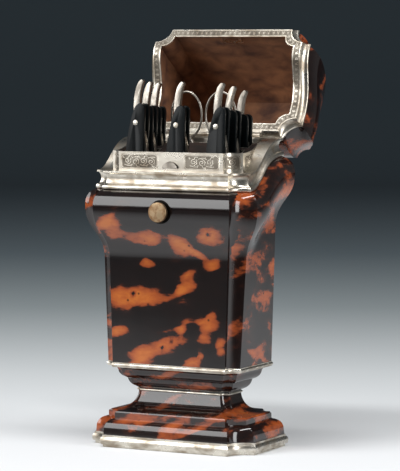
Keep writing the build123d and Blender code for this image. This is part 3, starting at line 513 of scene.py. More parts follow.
def ramp(tree: Tree, factor: Socket, stops: Sequence[tuple[float, str]]) -> Socket:
    """A colour that changes with a factor through these stops."""
    made = add(tree, "ShaderNodeValToRGB", Fac=factor)
    elements = made.color_ramp.elements
    while len(elements) < len(stops):
        elements.new(0.5)
    for element, (place, code) in zip(elements, stops):
        element.position = place
        element.color = linear(code)
    return made.outputs["Color"]


def noise_of(
    tree: Tree, grain: Point, tilt: float = 0.0, detail: float = 3.0, distortion: float = 0.0
) -> Socket:
    """Noise whose grain has these sizes in millimetres, turned about the depth axis."""
    turn = (0, math.radians(tilt), 0)
    turned = add(tree, "ShaderNodeMapping", Vector=spread_of(tree), Rotation=turn).outputs["Vector"]
    scale = tuple(1 / (size * MM) for size in grain)
    sized = add(tree, "ShaderNodeMapping", Vector=turned, Scale=scale).outputs["Vector"]
    made = add(tree, "ShaderNodeTexNoise", Vector=sized, Scale=1.0, Detail=detail, Distortion=distortion)
    return made.outputs["Factor"] if "Factor" in made.outputs else made.outputs[0]


def blank(name: str, **sockets) -> tuple[Material, Tree, Node]:
    """A new material with its shader's plain values set."""
    material = bpy.data.materials.new(name)
    material.use_nodes = True
    tree = material.node_tree
    shader = tree.nodes["Principled BSDF"]
    for key, value in sockets.items():
        shader.inputs[key.replace("_", " ")].default_value = value
    return material, tree, shader


def bumped(tree: Tree, shader: Node, height: Socket, depth: float, strength: float = 1.0) -> None:
    """Raises the surface by a height of this depth in millimetres."""
    bump = add(tree, "ShaderNodeBump", Height=height, Distance=depth * MM, Strength=strength)
    tree.links.new(bump.outputs["Normal"], shader.inputs["Normal"])


def arithmetic(tree: Tree, operation: str, *values) -> Socket:
    """A sum on up to three values or sockets."""
    inputs = {f"i{i}": value for i, value in enumerate(values)}
    return add(tree, "ShaderNodeMath", {"operation": operation}, **inputs).outputs[0]


@dataclass(frozen=True)
class Tortoiseshell:
    """Hawksbill shell, pressed flat and polished over a red ground: near black, with amber clouds."""

    name: str = "polished_tortoiseshell_veneer"
    stops: tuple[tuple[float, str], ...] = (
        (0.0, "#0f0909"),
        (0.42, "#180d0b"),
        (0.50, "#2c150e"),
        (0.54, "#612d19"),
        (0.59, "#8a4120"),
        (0.70, "#a25025"),
        (0.88, "#b8662c"),
    )
    cloud: Point = (30.0, 24.0, 12.0)
    tilt: float = 24.0
    dot: str = "#160c0a"
    dot_spacing: float = 7.0

    def build(self) -> Material:
        """The material, whose clouds follow the piece's mottle attribute where it has one."""
        values = {"Roughness": 0.12, "Coat_Weight": 0.3, "Coat_Roughness": 0.04, "IOR": 1.5}
        material, tree, shader = blank(self.name, **values)
        clouds = noise_of(tree, self.cloud, self.tilt, detail=1.5, distortion=0.7)
        ragged = noise_of(tree, (5.0, 5.0, 2.4), detail=5.0, distortion=0.5)
        placed = add(tree, "ShaderNodeAttribute", {"attribute_name": "mottle"}).outputs["Fac"]
        field = arithmetic(tree, "MULTIPLY_ADD", ragged, 0.34, clouds)
        field = arithmetic(tree, "ADD", field, placed)
        field = arithmetic(tree, "SUBTRACT", field, 0.205)
        scale = 1 / (self.dot_spacing * MM)
        grains = add(tree, "ShaderNodeTexVoronoi", Vector=spread_of(tree), Scale=scale, Randomness=1.0)
        dots = eased(tree, grains.outputs["Distance"], (0.07, 0.15), (0.75, 0.0))
        colour = mixed(tree, dots, ramp(tree, field, self.stops), self.dot)
        tree.links.new(colour, shader.inputs["Base Color"])
        bumped(tree, shader, noise_of(tree, (14.0, 14.0, 14.0), detail=1.0), 0.05)
        return material


@dataclass(frozen=True)
class Metal:
    """A metal with a rubbed surface: worn brighter in places and toned in others, with fine scratches."""

    name: str
    bright: str
    toned: str
    smooth: float
    rough: float
    cloud: Point = (9.0, 9.0, 6.0)
    scratch: Point = (6.0, 6.0, 0.35)
    scratch_depth: float = 0.02

    def build(self) -> Material:
        """The material."""
        material, tree, shader = blank(self.name, Metallic=1.0)
        cloud = noise_of(tree, self.cloud, detail=3.0, distortion=0.3)
        colour = ramp(tree, cloud, ((0.34, self.toned), (0.6, self.bright)))
        tree.links.new(colour, shader.inputs["Base Color"])
        wear = eased(tree, cloud, (0.35, 0.65), (self.rough, self.smooth))
        tree.links.new(wear, shader.inputs["Roughness"])
        bumped(tree, shader, noise_of(tree, self.scratch, detail=2.0), self.scratch_depth, 0.6)
        return material


@dataclass(frozen=True)
class Organic:
    """Horn, leather, wood or cloth: two tones in a grain, with a matching relief."""

    name: str
    dark: str
    light: str
    rough: float
    grain: Point
    depth: float = 0.05
    spread: float = 0.16
    sheen: float = 0.0
    specular: float = 0.5

    def build(self) -> Material:
        """The material."""
        values = {"Roughness": self.rough, "Sheen_Weight": self.sheen, "Specular_IOR_Level": self.specular}
        material, tree, shader = blank(self.name, Coat_Roughness=0.08, **values)
        grain = noise_of(tree, self.grain, detail=5.0, distortion=0.4)
        stops = ((0.5 - self.spread, self.dark), (0.5 + self.spread, self.light))
        tree.links.new(ramp(tree, grain, stops), shader.inputs["Base Color"])
        bumped(tree, shader, grain, self.depth)
        return material


class Finishes:
    """Every finish of the case, built once and found by name."""

    def __init__(self) -> None:
        """Builds the materials."""
        kinds = {
            "shell": Tortoiseshell(),
            "silver": Metal("hand_raised_silver", "#d8d2c6", "#9c9080", 0.24, 0.42),
            "engraved": Metal("matted_silver_ground", "#857e73", "#5f584f", 0.46, 0.6, scratch_depth=0.03),
            "steel": Metal("polished_carbon_steel", "#aea79d", "#847d74", 0.26, 0.42, cloud=(4.0, 4.0, 9.0)),
            "rolled": Metal("rolled_silver_sheet", "#c9c3b8", "#a8a094", 0.26, 0.36, cloud=(14.0, 14.0, 9.0)),
            "gilt": Metal("rubbed_gilt_silver", "#a58e70", "#7b5a3e", 0.34, 0.55, cloud=(3.0, 3.0, 3.0)),
            # Painted shadow: this near-black steel darkens the button's bush to stand for the shade round the
            # button.
            "shadow_black": Metal("shadow_black_steel", "#2b2927", "#141311", 0.3, 0.5),
            "brass": Metal("turned_brass", "#b8935a", "#8a6a3a", 0.3, 0.45),
            "horn": Organic(
                "polished_black_horn", "#040607", "#0a0f11", 0.3, (2.4, 2.4, 30.0), 0.02, specular=0.16
            ),
            "hide": Organic(
                "thin_worn_hide", "#4b2a1b", "#9a6844", 0.7, (13.0, 9.0, 9.0), 0.12, spread=0.2, sheen=0.1
            ),
            # Painted shade: this near-black hide darkens the tray and the cavity's lining to stand for the
            # shade inside the case.
            "painted_shade_hide": Organic("hide_in_painted_shade", "#120c0a", "#2a1a14", 0.5, (3.0, 3.0, 3.0), 0.08),
            "wood": Organic("planed_walnut", "#2f1a10", "#5a3822", 0.6, (2.0, 2.0, 40.0), 0.04),
            "baize": Organic("woollen_baize", "#12281b", "#2b4a35", 0.95, (0.9, 0.9, 0.9), 0.1, sheen=0.4),
            "pad": Organic("quilted_pad_leather", "#2d1a13", "#4a2c20", 0.7, (2.0, 2.0, 2.0), 0.1),
        }
        self.made = {key: kind.build() for key, kind in kinds.items()}

    def dress(self, item: Item, key: str) -> Item:
        """Gives an object one of the finishes."""
        item.data.materials.clear()
        item.data.materials.append(self.made[key])
        return item


FINISHES = Finishes()


def place(item: Item, body: str, key: str, *nodes: str) -> Item:
    """Dresses a piece, rides it on its body and lets it stand for its nodes.

    Args:
        item: The finished piece.
        body: The body that it moves with.
        key: The finish that it gets.
        nodes: The CAD nodes that it replaces.

    Returns:
        The same piece.
    """
    FINISHES.dress(item, key)
    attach(item, body)
    if nodes:
        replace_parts(item, *nodes)
    LOG.info("%s: %d faces", item.name, len(item.data.polygons))
    return item


# Repeats

class Repeater:
    """A Geometry Nodes tree that sets a small motif at each point of a mesh and squares it to the surface."""

    def __init__(self) -> None:
        """Builds the tree, with its sizes as named inputs."""
        tree = bpy.data.node_groups.new("set_along_surface", "GeometryNodeTree")
        face = tree.interface
        face.new_socket("Geometry", in_out="INPUT", socket_type="NodeSocketGeometry")
        face.new_socket("Motif", in_out="INPUT", socket_type="NodeSocketObject")
        face.new_socket("Size", in_out="INPUT", socket_type="NodeSocketFloat").default_value = 1.0
        face.new_socket("Size Variation", in_out="INPUT", socket_type="NodeSocketFloat").default_value = 0.0
        face.new_socket("Seed", in_out="INPUT", socket_type="NodeSocketInt").default_value = 7
        face.new_socket("Material", in_out="INPUT", socket_type="NodeSocketMaterial")
        face.new_socket("Geometry", in_out="OUTPUT", socket_type="NodeSocketGeometry")
        start = add(tree, "NodeGroupInput")
        motif = add(tree, "GeometryNodeObjectInfo", Object=start.outputs["Motif"])
        vector = {"data_type": "FLOAT_VECTOR"}
        out = add(tree, "GeometryNodeInputNamedAttribute", vector, Name="surface_out").outputs[0]
        way = add(tree, "GeometryNodeInputNamedAttribute", vector, Name="surface_way").outputs[0]
        turn = add(
            tree, "FunctionNodeAxesToRotation", {"primary_axis": "Z", "secondary_axis": "X"}, i0=out, i1=way
        ).outputs[0]
        least = arithmetic(tree, "SUBTRACT", 1.0, start.outputs["Size Variation"])
        seed, single = start.outputs["Seed"], {"data_type": "FLOAT"}
        drawn = add(tree, "FunctionNodeRandomValue", single, i2=least, i3=1.0, Seed=seed).outputs[1]
        size = arithmetic(tree, "MULTIPLY", drawn, start.outputs["Size"])
        spread = add(
            tree, "GeometryNodeInstanceOnPoints", Points=start.outputs["Geometry"],
            Instance=motif.outputs["Geometry"], Rotation=turn, Scale=size,
        ).outputs[0]
        real = add(tree, "GeometryNodeRealizeInstances", Geometry=spread).outputs[0]
        coloured = add(
            tree, "GeometryNodeSetMaterial", Geometry=real, Material=start.outputs["Material"]
        ).outputs[0]
        add(tree, "NodeGroupOutput", Geometry=coloured)
        self.tree = tree

    def run(
        self,
        name: str,
        spots: Sequence[Spot],
        motif: Item,
        material: Material,
        size: float = 1.0,
        variation: float = 0.0,
    ) -> Item:
        """Sets the motif at each spot.

        Args:
            name: The new piece's name.
            spots: A point in millimetres, the outward direction and the way along, for each motif.
            motif: The object whose mesh is repeated.
            material: What the repeats are made of.
            size: The motif's scale.
            variation: How much smaller a motif may come out.

        Returns:
            The new piece, as a plain mesh.
        """
        mesh = bpy.data.meshes.new(name)
        mesh.from_pydata([tuple(point * MM) for point, _, _ in spots], [], [])
        for key, index in (("surface_out", 1), ("surface_way", 2)):
            values = [c for spot in spots for c in spot[index]]
            mesh.attributes.new(key, "FLOAT_VECTOR", "POINT").data.foreach_set("vector", values)
        item = linked(name, mesh)
        modifier = item.modifiers.new("repeat", "NODES")
        modifier.node_group = self.tree
        wanted = {"Motif": motif, "Size": size, "Size Variation": variation, "Material": material}
        for socket in self.tree.interface.items_tree:
            if socket.in_out == "INPUT" and socket.name in wanted:
                modifier[socket.identifier] = wanted[socket.name]
        settled(item)
        return shaded(item)


def circle_of(radius: float, count: int) -> list[Flat]:
    """Points evenly round a circle."""
    angles = [2 * math.pi * i / count for i in range(count)]
    return [(radius * math.cos(a), radius * math.sin(a)) for a in angles]


def dome(name: str, radius: float, height: float, sides: int = 12) -> Item:
    """A low closed dome, flat side down, in millimetres."""
    made = bmesh.new()
    loops = []
    for share, level in ((1.0, -0.3), (1.0, 0.0), (0.82, 0.6), (0.45, 0.93)):
        loops.append([made.verts.new((x, y, height * level)) for x, y in circle_of(radius * share, sides)])
    top = made.verts.new((0, 0, height))
    for low, high in zip(loops, loops[1:]):
        for i in range(sides):
            j = (i + 1) % sides
            made.faces.new((low[i], low[j], high[j], high[i]))
    for i in range(sides):
        made.faces.new((loops[-1][i], loops[-1][(i + 1) % sides], top))
    made.faces.new(list(reversed(loops[0])))
    return shaded(from_bmesh(name, made))


# Engraving

def spiral(centre: Flat, radius: float, start: float, turns: float) -> list[Flat]:
    """A volute that winds in from its rim, as points in the panel's own units."""
    count = max(12, int(abs(turns) * 22))
    points = []
    for i in range(count + 1):
        share = i / count
        reach = radius * (1 - 0.86 * share)
        angle = math.radians(start) + 2 * math.pi * turns * share
        points.append((centre[0] + reach * math.cos(angle), centre[1] + reach * math.sin(angle)))
    return points


def arch(one: Flat, other: Flat, swell: float) -> list[Flat]:
    """A bowed stroke between two points."""
    (x0, y0), (x1, y1) = one, other
    points = []
    for i in range(9):
        share = i / 8
        bow = swell * math.sin(math.pi * share)
        points.append((x0 + (x1 - x0) * share - (y1 - y0) * bow, y0 + (y1 - y0) * share + (x1 - x0) * bow))
    return points


def scrollwork(length: float) -> list[list[Flat]]:
    """Strokes of a running scroll in a panel from -length to length, one unit high each way."""
    strokes = []
    pitch = 1.16
    count = max(1, round(2 * (length - 0.2) / pitch))
    for i in range(count):
        x = (i - (count - 1) / 2) * pitch
        hand = 1 if i % 2 == 0 else -1
        strokes.append(spiral((x, 0.06 * hand), 0.55, -90 * hand, 1.6 * hand))
        strokes.append(arch((x - 0.5, -0.52 * hand), (x + 0.62, -0.66 * hand), -0.1 * hand))
        strokes.append(arch((x + 0.1, 0.62 * hand), (x + 0.62, 0.8 * hand), 0.3 * hand))
        strokes.append(arch((x + 0.1, 0.62 * hand), (x + 0.5, 0.42 * hand), -0.3 * hand))
        strokes.append(arch((x - 0.42, 0.5 * hand), (x - 0.62, 0.86 * hand), 0.35 * hand))
    return strokes


def border(length: float, inset: float) -> list[Flat]:
    """The fine line round a panel, with its corners cut in."""
    x, y, nick = length - inset, 1 - inset, 0.22
    corners = [(-x + nick, -y), (x - nick, -y), (x, -y + nick), (x, y - nick), (x - nick, y), (-x + nick, y)]
    corners += [(-x, y - nick), (-x, -y + nick), (-x + nick, -y)]
    points = []
    for (x0, y0), (x1, y1) in zip(corners, corners[1:]):
        points += [(x0 + (x1 - x0) * i / 8, y0 + (y1 - y0) * i / 8) for i in range(8)]
    return points + [corners[0]]


@dataclass(frozen=True)
class CollarEngraving:
    """The engraved panels round the collar, in millimetres along its face from the middle of the front."""

    base: float = 150.6
    top: float = 174.0
    low: float = 163.9
    high: float = 172.9
    stroke: float = 0.55
    ground_inset: float = 0.25

    def spot(self, along: float, level: float) -> tuple[Vector, Vector]:
        """The point on the collar's face, and its outward direction, so far along at a level."""
        width, depth, notch = COLLAR.half_width, COLLAR.half_depth, COLLAR.notch
        flat, bend = width - notch, notch * math.pi / 2
        side, reach = abs(along), math.copysign(1.0, along)
        if side <= flat:
            x, y, out = side, -depth, Vector((0, -1, 0))
        elif side <= flat + bend:
            angle = (side - flat) / notch
            x, y = width - notch * math.cos(angle), -depth + notch * math.sin(angle)
            out = Vector((math.cos(angle), -math.sin(angle), 0))
        else:
            x, y, out = width, -depth + notch + side - flat - bend, Vector((1, 0, 0))
        share = (level - self.base) / (self.top - self.base)
        rise = COLLAR_OGEE.height(y, depth - notch) * share
        return Vector((x * reach, y, level + rise)), Vector((out.x * reach, out.y, 0))

    def build(self) -> None:
        """Cuts every panel's border and scrolls."""
        flat = COLLAR.half_width - COLLAR.notch
        bend = COLLAR.notch * math.pi / 2
        side = flat + bend
        panels = [(-32.8, -8.2), (8.9, 31.9), (flat + 1.4, side - 1.4), (side + 1.6, side + 29.6)]
        panels += [(-b, -a) for a, b in panels[2:]]
        made, ground = bmesh.new(), bmesh.new()
        half = (self.high - self.low) / 2
        for start, end in panels:
            inset = self.ground_inset
            levels = [self.low + inset, self.high - inset]
            columns = max(6, round((end - start) / 1.2))
            places = [start + inset + (end - start - 2 * inset) * i / columns for i in range(columns + 1)]
            slab(ground, [[self.spot(place, level) for place in places] for level in levels], 0.03, 0.2)
            length = (end - start) / 2 / half
            strokes = [border(length, 0.02), border(length, 0.14)] + scrollwork(length - 0.35)
            for number, stroke in enumerate(strokes):
                squeeze = 1.0 if number < 2 else 0.8
                spots = []
                for u, v in stroke:
                    level = (self.low + self.high) / 2 + v * half * squeeze
                    spots.append(self.spot((start + end) / 2 + u * half, level))
                wire(made, [p for p, _ in spots], [n for _, n in spots], self.stroke, 0.09)
        bmesh.ops.recalc_face_normals(ground, faces=ground.faces)
        place(from_bmesh("collar_matted_ground", ground), "case", "engraved")
        place(from_bmesh("collar_engraving", made), "case", "silver")


# Foot

BAIZE = 0.8
PLINTH_HEIGHT = 7.2
OVOLO_LEVEL = 16.4
SCOTIA_LEVEL = 19.8
NECK_LEVEL = 31.8
NECK_BAND_TOP = 33.4
TIER_LEVEL = 40.0
WAIST_LEVEL = 49.9
WAIST_BAND_LOW = 47.0
OVOLO_TOP_IN = 8.4
SCOTIA_TOP_IN = 24.1


def foot(inward: float, level: float) -> Station:
    """A station of the foot, so far in from the plinth towards the neck."""
    return PLINTH.mixed(NECK, inward / (PLINTH.half_width - NECK.half_width)).at(level)


def tier_outline(inward: float, wall: float) -> Outline:
    """An outline of the flare above the neck, so far in from the waist."""
    return WAIST.mixed(NECK, inward / (WAIST.half_width - NECK.half_width)).grown(-wall)


@dataclass(frozen=True)
class Foot:
    """The pedestal: its silver plinth, two veneered mouldings, two round tiers and the bands between."""

    steps: tuple[int, int] = (9, 1)
    band_nail_pitch: float = 17.0
    band_nail_out: float = 0.85
    side_nail_share: float = 0.72

    def plinth(self) -> Chain:
        """The plinth mount's face."""
        low, high = 1.7, PLINTH_HEIGHT - 1.3
        return profile(
            foot(1.5, 0),
            (foot(1.3, low),),
            (foot(0.3, low),),
            (foot(-0.5, low + 1.2), foot(-0.5, high - 1.2), foot(0.5, high)),
            (foot(1.1, high),),
            (foot(1.1, PLINTH_HEIGHT),),
        )

    def ovolo(self, wall: float = 0.0) -> Chain:
        """The quarter-round's face, or its back."""
        top = OVOLO_LEVEL - wall
        return profile(
            foot(1.8 + wall, PLINTH_HEIGHT),
            (foot(2.1 + wall, top - 5.4),),
            (
                foot(2.5 + wall, top - 2.0),
                foot(4.8 + wall, top - 0.6),
                foot(OVOLO_TOP_IN - 1.0 + wall, top),
            ),
            (foot(OVOLO_TOP_IN + wall, top),),
        )

    def scotia(self, wall: float = 0.0) -> Chain:
        """The hollow's face, or its back."""
        base = SCOTIA_LEVEL - wall
        return profile(
            foot(OVOLO_TOP_IN + 0.5 + wall, base),
            (foot(OVOLO_TOP_IN + 0.9 + wall, base + 0.7),),
            (
                foot(18.5 + wall, base + 1.4),
                foot(23.0 + wall, base + 4.2),
                foot(SCOTIA_TOP_IN + wall, NECK_LEVEL),
            ),
        )

    def tier(self, upper: bool, wall: float = 0.0) -> Chain:
        """One of the two round tiers above the neck, its face or its back."""
        if upper:
            return profile(
                tier_outline(7.6, wall).at(TIER_LEVEL),
                (
                    tier_outline(5.6, wall).at(TIER_LEVEL + 1.0),
                    tier_outline(4.6, wall).at(TIER_LEVEL + 2.4),
                    tier_outline(4.4, wall).at(TIER_LEVEL + 4.4),
                ),
                (
                    tier_outline(4.0, wall).at(TIER_LEVEL + 5.8),
                    tier_outline(3.2, wall).at(WAIST_BAND_LOW - 0.4),
                    tier_outline(1.6, wall).at(WAIST_BAND_LOW),
                ),
            )
        return profile(
            tier_outline(13.6, wall).at(NECK_BAND_TOP),
            (tier_outline(13.6, wall).at(NECK_BAND_TOP + 0.4),),
            (
                tier_outline(11.2, wall).at(NECK_BAND_TOP + 0.9),
                tier_outline(8.9, wall).at(NECK_BAND_TOP + 3.0),
                tier_outline(8.6, wall).at(TIER_LEVEL),
            ),
        )

    def band_nails(self) -> list[Spot]:
        """Where the waist band's little nails stand, with the outward direction and the way along."""
        spots = []
        level = (WAIST_BAND_LOW + WAIST_LEVEL) / 2
        out = self.band_nail_out
        flat = WAIST.half_width - WAIST.notch
        deep = WAIST.half_depth - WAIST.notch
        for sign in (-1, 1):
            for i in (-2, -1, 0, 1, 2):
                x = i * self.band_nail_pitch
                if abs(x) < flat:
                    y = sign * (WAIST.half_depth + out)
                    spots.append((Vector((x, y, level)), Vector((0, sign, 0)), Vector((1, 0, 0))))
            for i in (-1, 0, 1):
                y = i * deep * self.side_nail_share
                x = sign * (WAIST.half_width + out)
                spots.append((Vector((x, y, level)), Vector((sign, 0, 0)), Vector((0, 1, 0))))
        return spots

    def build(self, repeater: Repeater) -> None:
        """Makes and dresses the foot's visible pieces."""
        block, back, neck_block = 1.5 + MOUNT_WALL, OVOLO_TOP_IN + VENEER, SCOTIA_TOP_IN + VENEER
        band_back = WAIST.grown(-MOUNT_WALL)
        forms = [self.plinth(), foot(block, PLINTH_HEIGHT), foot(block, 0)]
        plinth = swept("plinth_mount", forms, steps=self.steps)
        place(plinth, "case", "silver", "foot_plinth_mount")
        forms = [self.ovolo(), foot(OVOLO_TOP_IN, SCOTIA_LEVEL), foot(back, SCOTIA_LEVEL)]
        ovolo = swept("ovolo_veneer", [*forms, backwards(self.ovolo(VENEER))], steps=self.steps)
        place(ovolo, "case", "shell", "foot_ovolo_veneer")
        forms = [self.scotia(), backwards(self.scotia(VENEER)), foot(back, SCOTIA_LEVEL - VENEER)]
        scotia = swept("scotia_veneer", [*forms, foot(back, SCOTIA_LEVEL)], steps=(16, 1))
        place(scotia, "case", "shell", "foot_scotia_veneer")
        tiers = []
        for upper in (False, True):
            forms = [self.tier(upper), backwards(self.tier(upper, VENEER))]
            tiers.append(swept("tier", forms, steps=self.steps))
        place(joined("tier_rings", tiers), "case", "shell", "tier_veneers")
        low, top = NECK_LEVEL, NECK_BAND_TOP
        edge, bulge = NECK.grown(0.4), NECK.grown(1.5)
        neck = profile(edge.at(low), (bulge.at(low + 0.1), bulge.at(top - 0.1), edge.at(top)))
        ring = swept("neck_ring", [neck, foot(neck_block, top), foot(neck_block, low)], steps=self.steps)
        place(ring, "case", "silver", "neck_band")
        low, top = WAIST_BAND_LOW, WAIST_LEVEL
        edge, bulge = WAIST.grown(0.3), WAIST.grown(1.1)
        waist = profile(
            WAIST.grown(0.1).at(low),
            (edge.at(low + 0.5),),
            (bulge.at(low + 0.8), bulge.at(top - 0.8), edge.at(top - 0.5)),
            (edge.at(top),),
        )
        ring = swept("waist_ring", [waist, band_back.at(top), band_back.at(low)], steps=self.steps)
        place(ring, "case", "silver", "waist_band")
        nail = dome("nail", 0.62, 0.3)
        nails = repeater.run("waist_nails", self.band_nails(), nail, FINISHES.made["silver"], variation=0.15)
        bpy.data.objects.remove(nail)
        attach(nails, "case")


# Body

RIM_LEVEL = 162.6
RIM_BASE = 151.8
RIM_PLATE = 1.0
RIM_OUT = 3.8
RIM_FOOT_OUT = 3.4
RIM_BLOCK_OUT = 0.6
SWELL = 9.9
SWELL_START = 112.0
SWELL_LEVEL = 142.0
COLLAR_BASE = 150.6
COLLAR_TOP = 174.0
COLLAR_SHEET = 0.9
LID_RIM_OUT = 2.9
LID_FRAME_WIDTH = 5.2
BUTTON_LEVEL = 140.0
BUTTON_SEAT = -37.1
BUSH_FLANGE = 1.0
BUSH_FLANGE_RADIUS = 6.9


def out(amount: float, level: float, lift: float = 1.0) -> Station:
    """A station of the shoulder's outline standing out by this much."""
    return SHOULDER.grown(amount).at(level, lift)


def leaf_cutter(level: float, height: float) -> Item:
    """The cutter for the seat of a hinge leaf, from a level upward."""
    x, near, far = 30.0, 27.6, 40.0
    corners = [(-x, near, level), (x, near, level), (x, far, level), (-x, far, level)]
    return prism("leaf", corners, (0, 0, height))


# The front veneer's amber clouds: across, up, half length and half width in millimetres, and tilt in degrees
FRONT_CLOUDS = (
    (-22.0, 124.5, 21.0, 4.4, -7.0),
    (-34.0, 131.0, 8.0, 5.0, -4.0),
    (-33.0, 126.0, 8.0, 4.5, 0.0),
    (8.0, 119.5, 6.5, 7.0, -60.0),
    (17.0, 116.8, 9.0, 1.9, -24.0),
    (28.5, 127.0, 8.0, 5.2, 12.0),
    (-13.5, 109.0, 4.5, 2.4, 0.0),
    (29.5, 109.5, 5.5, 3.2, 10.0),
    (12.5, 100.5, 6.5, 5.4, 70.0),
    (8.5, 95.0, 5.0, 3.8, 30.0),
    (-18.0, 89.0, 23.0, 4.6, 3.0),
    (-32.5, 87.5, 8.0, 6.2, 0.0),
    (-33.5, 68.5, 8.0, 3.0, 8.0),
    (-28.0, 46.0, 13.0, 4.2, 28.0),
    (-17.0, 55.0, 12.0, 5.0, 18.0),
    (-1.0, 61.5, 12.0, 4.8, 24.0),
    (11.5, 70.0, 9.0, 5.0, 52.0),
    (22.0, 74.0, 9.0, 5.0, 8.0),
    (28.0, 79.5, 6.0, 3.6, 48.0),
    (22.0, 68.5, 6.0, 4.6, -20.0),
    (17.0, 50.5, 6.6, 5.4, 80.0),
    (21.0, 58.0, 2.6, 3.6, 0.0),
    (13.0, 40.0, 13.0, 3.6, 4.0),
    (34.0, 62.0, 3.4, 5.0, 0.0),
)
# Dark eyes inside the clouds: across, up and radius
FRONT_EYES = ((15.5, 71.5, 4.3), (-4.0, 60.0, 1.0), (-23.0, 91.0, 1.6), (29.0, 127.5, 1.1), (2.0, 64.5, 0.9))


def mottle_at(point: Vector) -> float:
    """How much the front veneer's own clouds lighten or darken a point of it, in millimetres."""
    x, level = point.x, point.z
    best = -1.0
    for cx, cz, long, wide, tilt in FRONT_CLOUDS:
        a = math.radians(tilt)
        dx, dz = x - cx, level - cz
        u = (dx * math.cos(a) + dz * math.sin(a)) / long
        v = (-dx * math.sin(a) + dz * math.cos(a)) / wide
        best = max(best, 1 - math.hypot(u, v))
    for cx, cz, radius in FRONT_EYES:
        best = min(best, math.hypot(x - cx, level - cz) / radius - 1.15)
    return max(-0.26, min(0.3, 0.42 * best + 0.07))


@dataclass(frozen=True)
class Body:
    """The swelling body: its veneers, the rim moulding, and the collar with its engraving."""

    counts: tuple[int, int, int] = (56, 34, 10)
    steps: tuple[int, int] = (14, 36)

    def chain(self) -> Chain:
        """The body's face: straight sides that flare a little, then the swelling shoulder."""
        turn = (SWELL_START + SWELL_LEVEL) / 2 + 2.0
        drop = RIM_BASE - SWELL_LEVEL
        return profile(
            WAIST.at(WAIST_LEVEL),
            (SHOULDER.at(SWELL_START, 1.0),),
            (out(0.3, SWELL_START + 8.0), out(SWELL * 0.36, turn - 5.0), out(SWELL * 0.66, turn)),
            (out(SWELL * 0.92, turn + 4.2), out(SWELL, SWELL_LEVEL - 4.6), out(SWELL, SWELL_LEVEL)),
            (
                out(SWELL, SWELL_LEVEL + drop * 0.5),
                out(SWELL * 0.82, RIM_BASE - 1.2),
                out(RIM_FOOT_OUT, RIM_BASE),
            ),
        )

    def rim(self) -> Chain:
        """The rim moulding's face, from its bead through the hollow to the ledge."""
        bead = RIM_BASE + 3.0
        lip = RIM_LEVEL - RIM_PLATE
        return profile(
            out(RIM_FOOT_OUT, RIM_BASE),
            (out(RIM_OUT + 0.9, RIM_BASE + 0.4), out(RIM_OUT + 0.9, bead - 0.4), out(RIM_OUT - 0.8, bead)),
            (out(RIM_OUT - 1.2, bead + 0.3),),
            (out(RIM_OUT - 2.6, bead + 1.6), out(RIM_OUT - 2.6, lip - 1.6), out(RIM_OUT - 0.9, lip - 0.2)),
            (out(RIM_OUT, lip),),
            (out(RIM_OUT, RIM_LEVEL),),
        )

    def veneers(self) -> None:
        """The tortoiseshell round the body, with its front clouds and the button's seat."""
        chain = self.chain()
        inner = shifted(chain, -VENEER)
        shell = swept("body_shell", [chain, backwards(inner)], RIM_OGEE, counts=self.counts, steps=self.steps)
        circle = [(x, BUTTON_SEAT - 5, BUTTON_LEVEL + z) for x, z in circle_of(BUSH_FLANGE_RADIUS, 64)]
        cut(shell, prism("seat", circle, (0, 5 + BUSH_FLANGE, 0)))
        values = []
        for vertex in shell.data.vertices:
            point = vertex.co / MM
            reach = SHOULDER.half_width + SWELL * 0.5 - 7
            front = point.y < -SHOULDER.half_depth + 2.0 and abs(point.x) < reach
            values.append(mottle_at(point) if front else 0.0)
        shell.data.attributes.new("mottle", "FLOAT", "POINT").data.foreach_set("value", values)
        nodes = ("front_veneer", "back_veneer", "left_veneer", "right_veneer", "corner_veneers")
        place(shell, "case", "shell", *nodes)

    def build(self) -> None:
        """Makes and dresses the body's visible pieces."""
        self.veneers()
        lip = RIM_LEVEL - RIM_PLATE
        forms = [self.rim(), COLLAR.at(RIM_LEVEL, 1.0), COLLAR.at(lip, 1.0), out(RIM_BLOCK_OUT, lip)]
        forms += [out(RIM_BLOCK_OUT, RIM_BASE), out(RIM_FOOT_OUT - VENEER, RIM_BASE)]
        rim = swept("rim_ring", forms, RIM_OGEE, counts=(12, 34, 10), steps=(10, 1))
        place(cut(rim, leaf_cutter(180.6, 3.0)), "case", "silver", "rim_moulding")
        inner = COLLAR.grown(-COLLAR_SHEET)
        forms = [COLLAR.at(COLLAR_BASE), COLLAR.at(COLLAR_TOP, 1.0)]
        forms += [inner.at(COLLAR_TOP, 1.0), inner.at(COLLAR_BASE)]
        collar = swept("collar_sheet", forms, COLLAR_OGEE, counts=(12, 24, 10))
        place(cut(collar, self.window()), "case", "rolled", "collar")
        CollarEngraving().build()

    def window(self) -> Item:
        """The cutter for the D-shaped opening that the catch's nose shows through."""
        half, base, shoulder, top = 5.1, 164.6, 165.7, 168.6
        reach = top - shoulder
        radius = (half * half + reach * reach) / (2 * reach)
        middle = top - radius
        spread = math.asin(half / radius)
        points = [(-half, -27.0, base), (half, -27.0, base)]
        for i in range(17):
            a = spread - 2 * spread * i / 16
            points.append((radius * math.sin(a), -27.0, middle + radius * math.cos(a)))
        return prism("window", points, (0, 4.5, 0))


# Lid

LID_LEVEL = 163.0
LID_TOP = 226.5
LID_FRAME_SHEET = 1.0
LID_MOULDING_HEIGHT = 6.4
LID_MOULDING_OUT = 6.0
LID_BLOCK_OUT = 2.1
LID_SWELL = 6.8
LID_TOP_WALL = 4.0
LID_LINING = 0.8
LID_MOUTH_OUT = -0.8


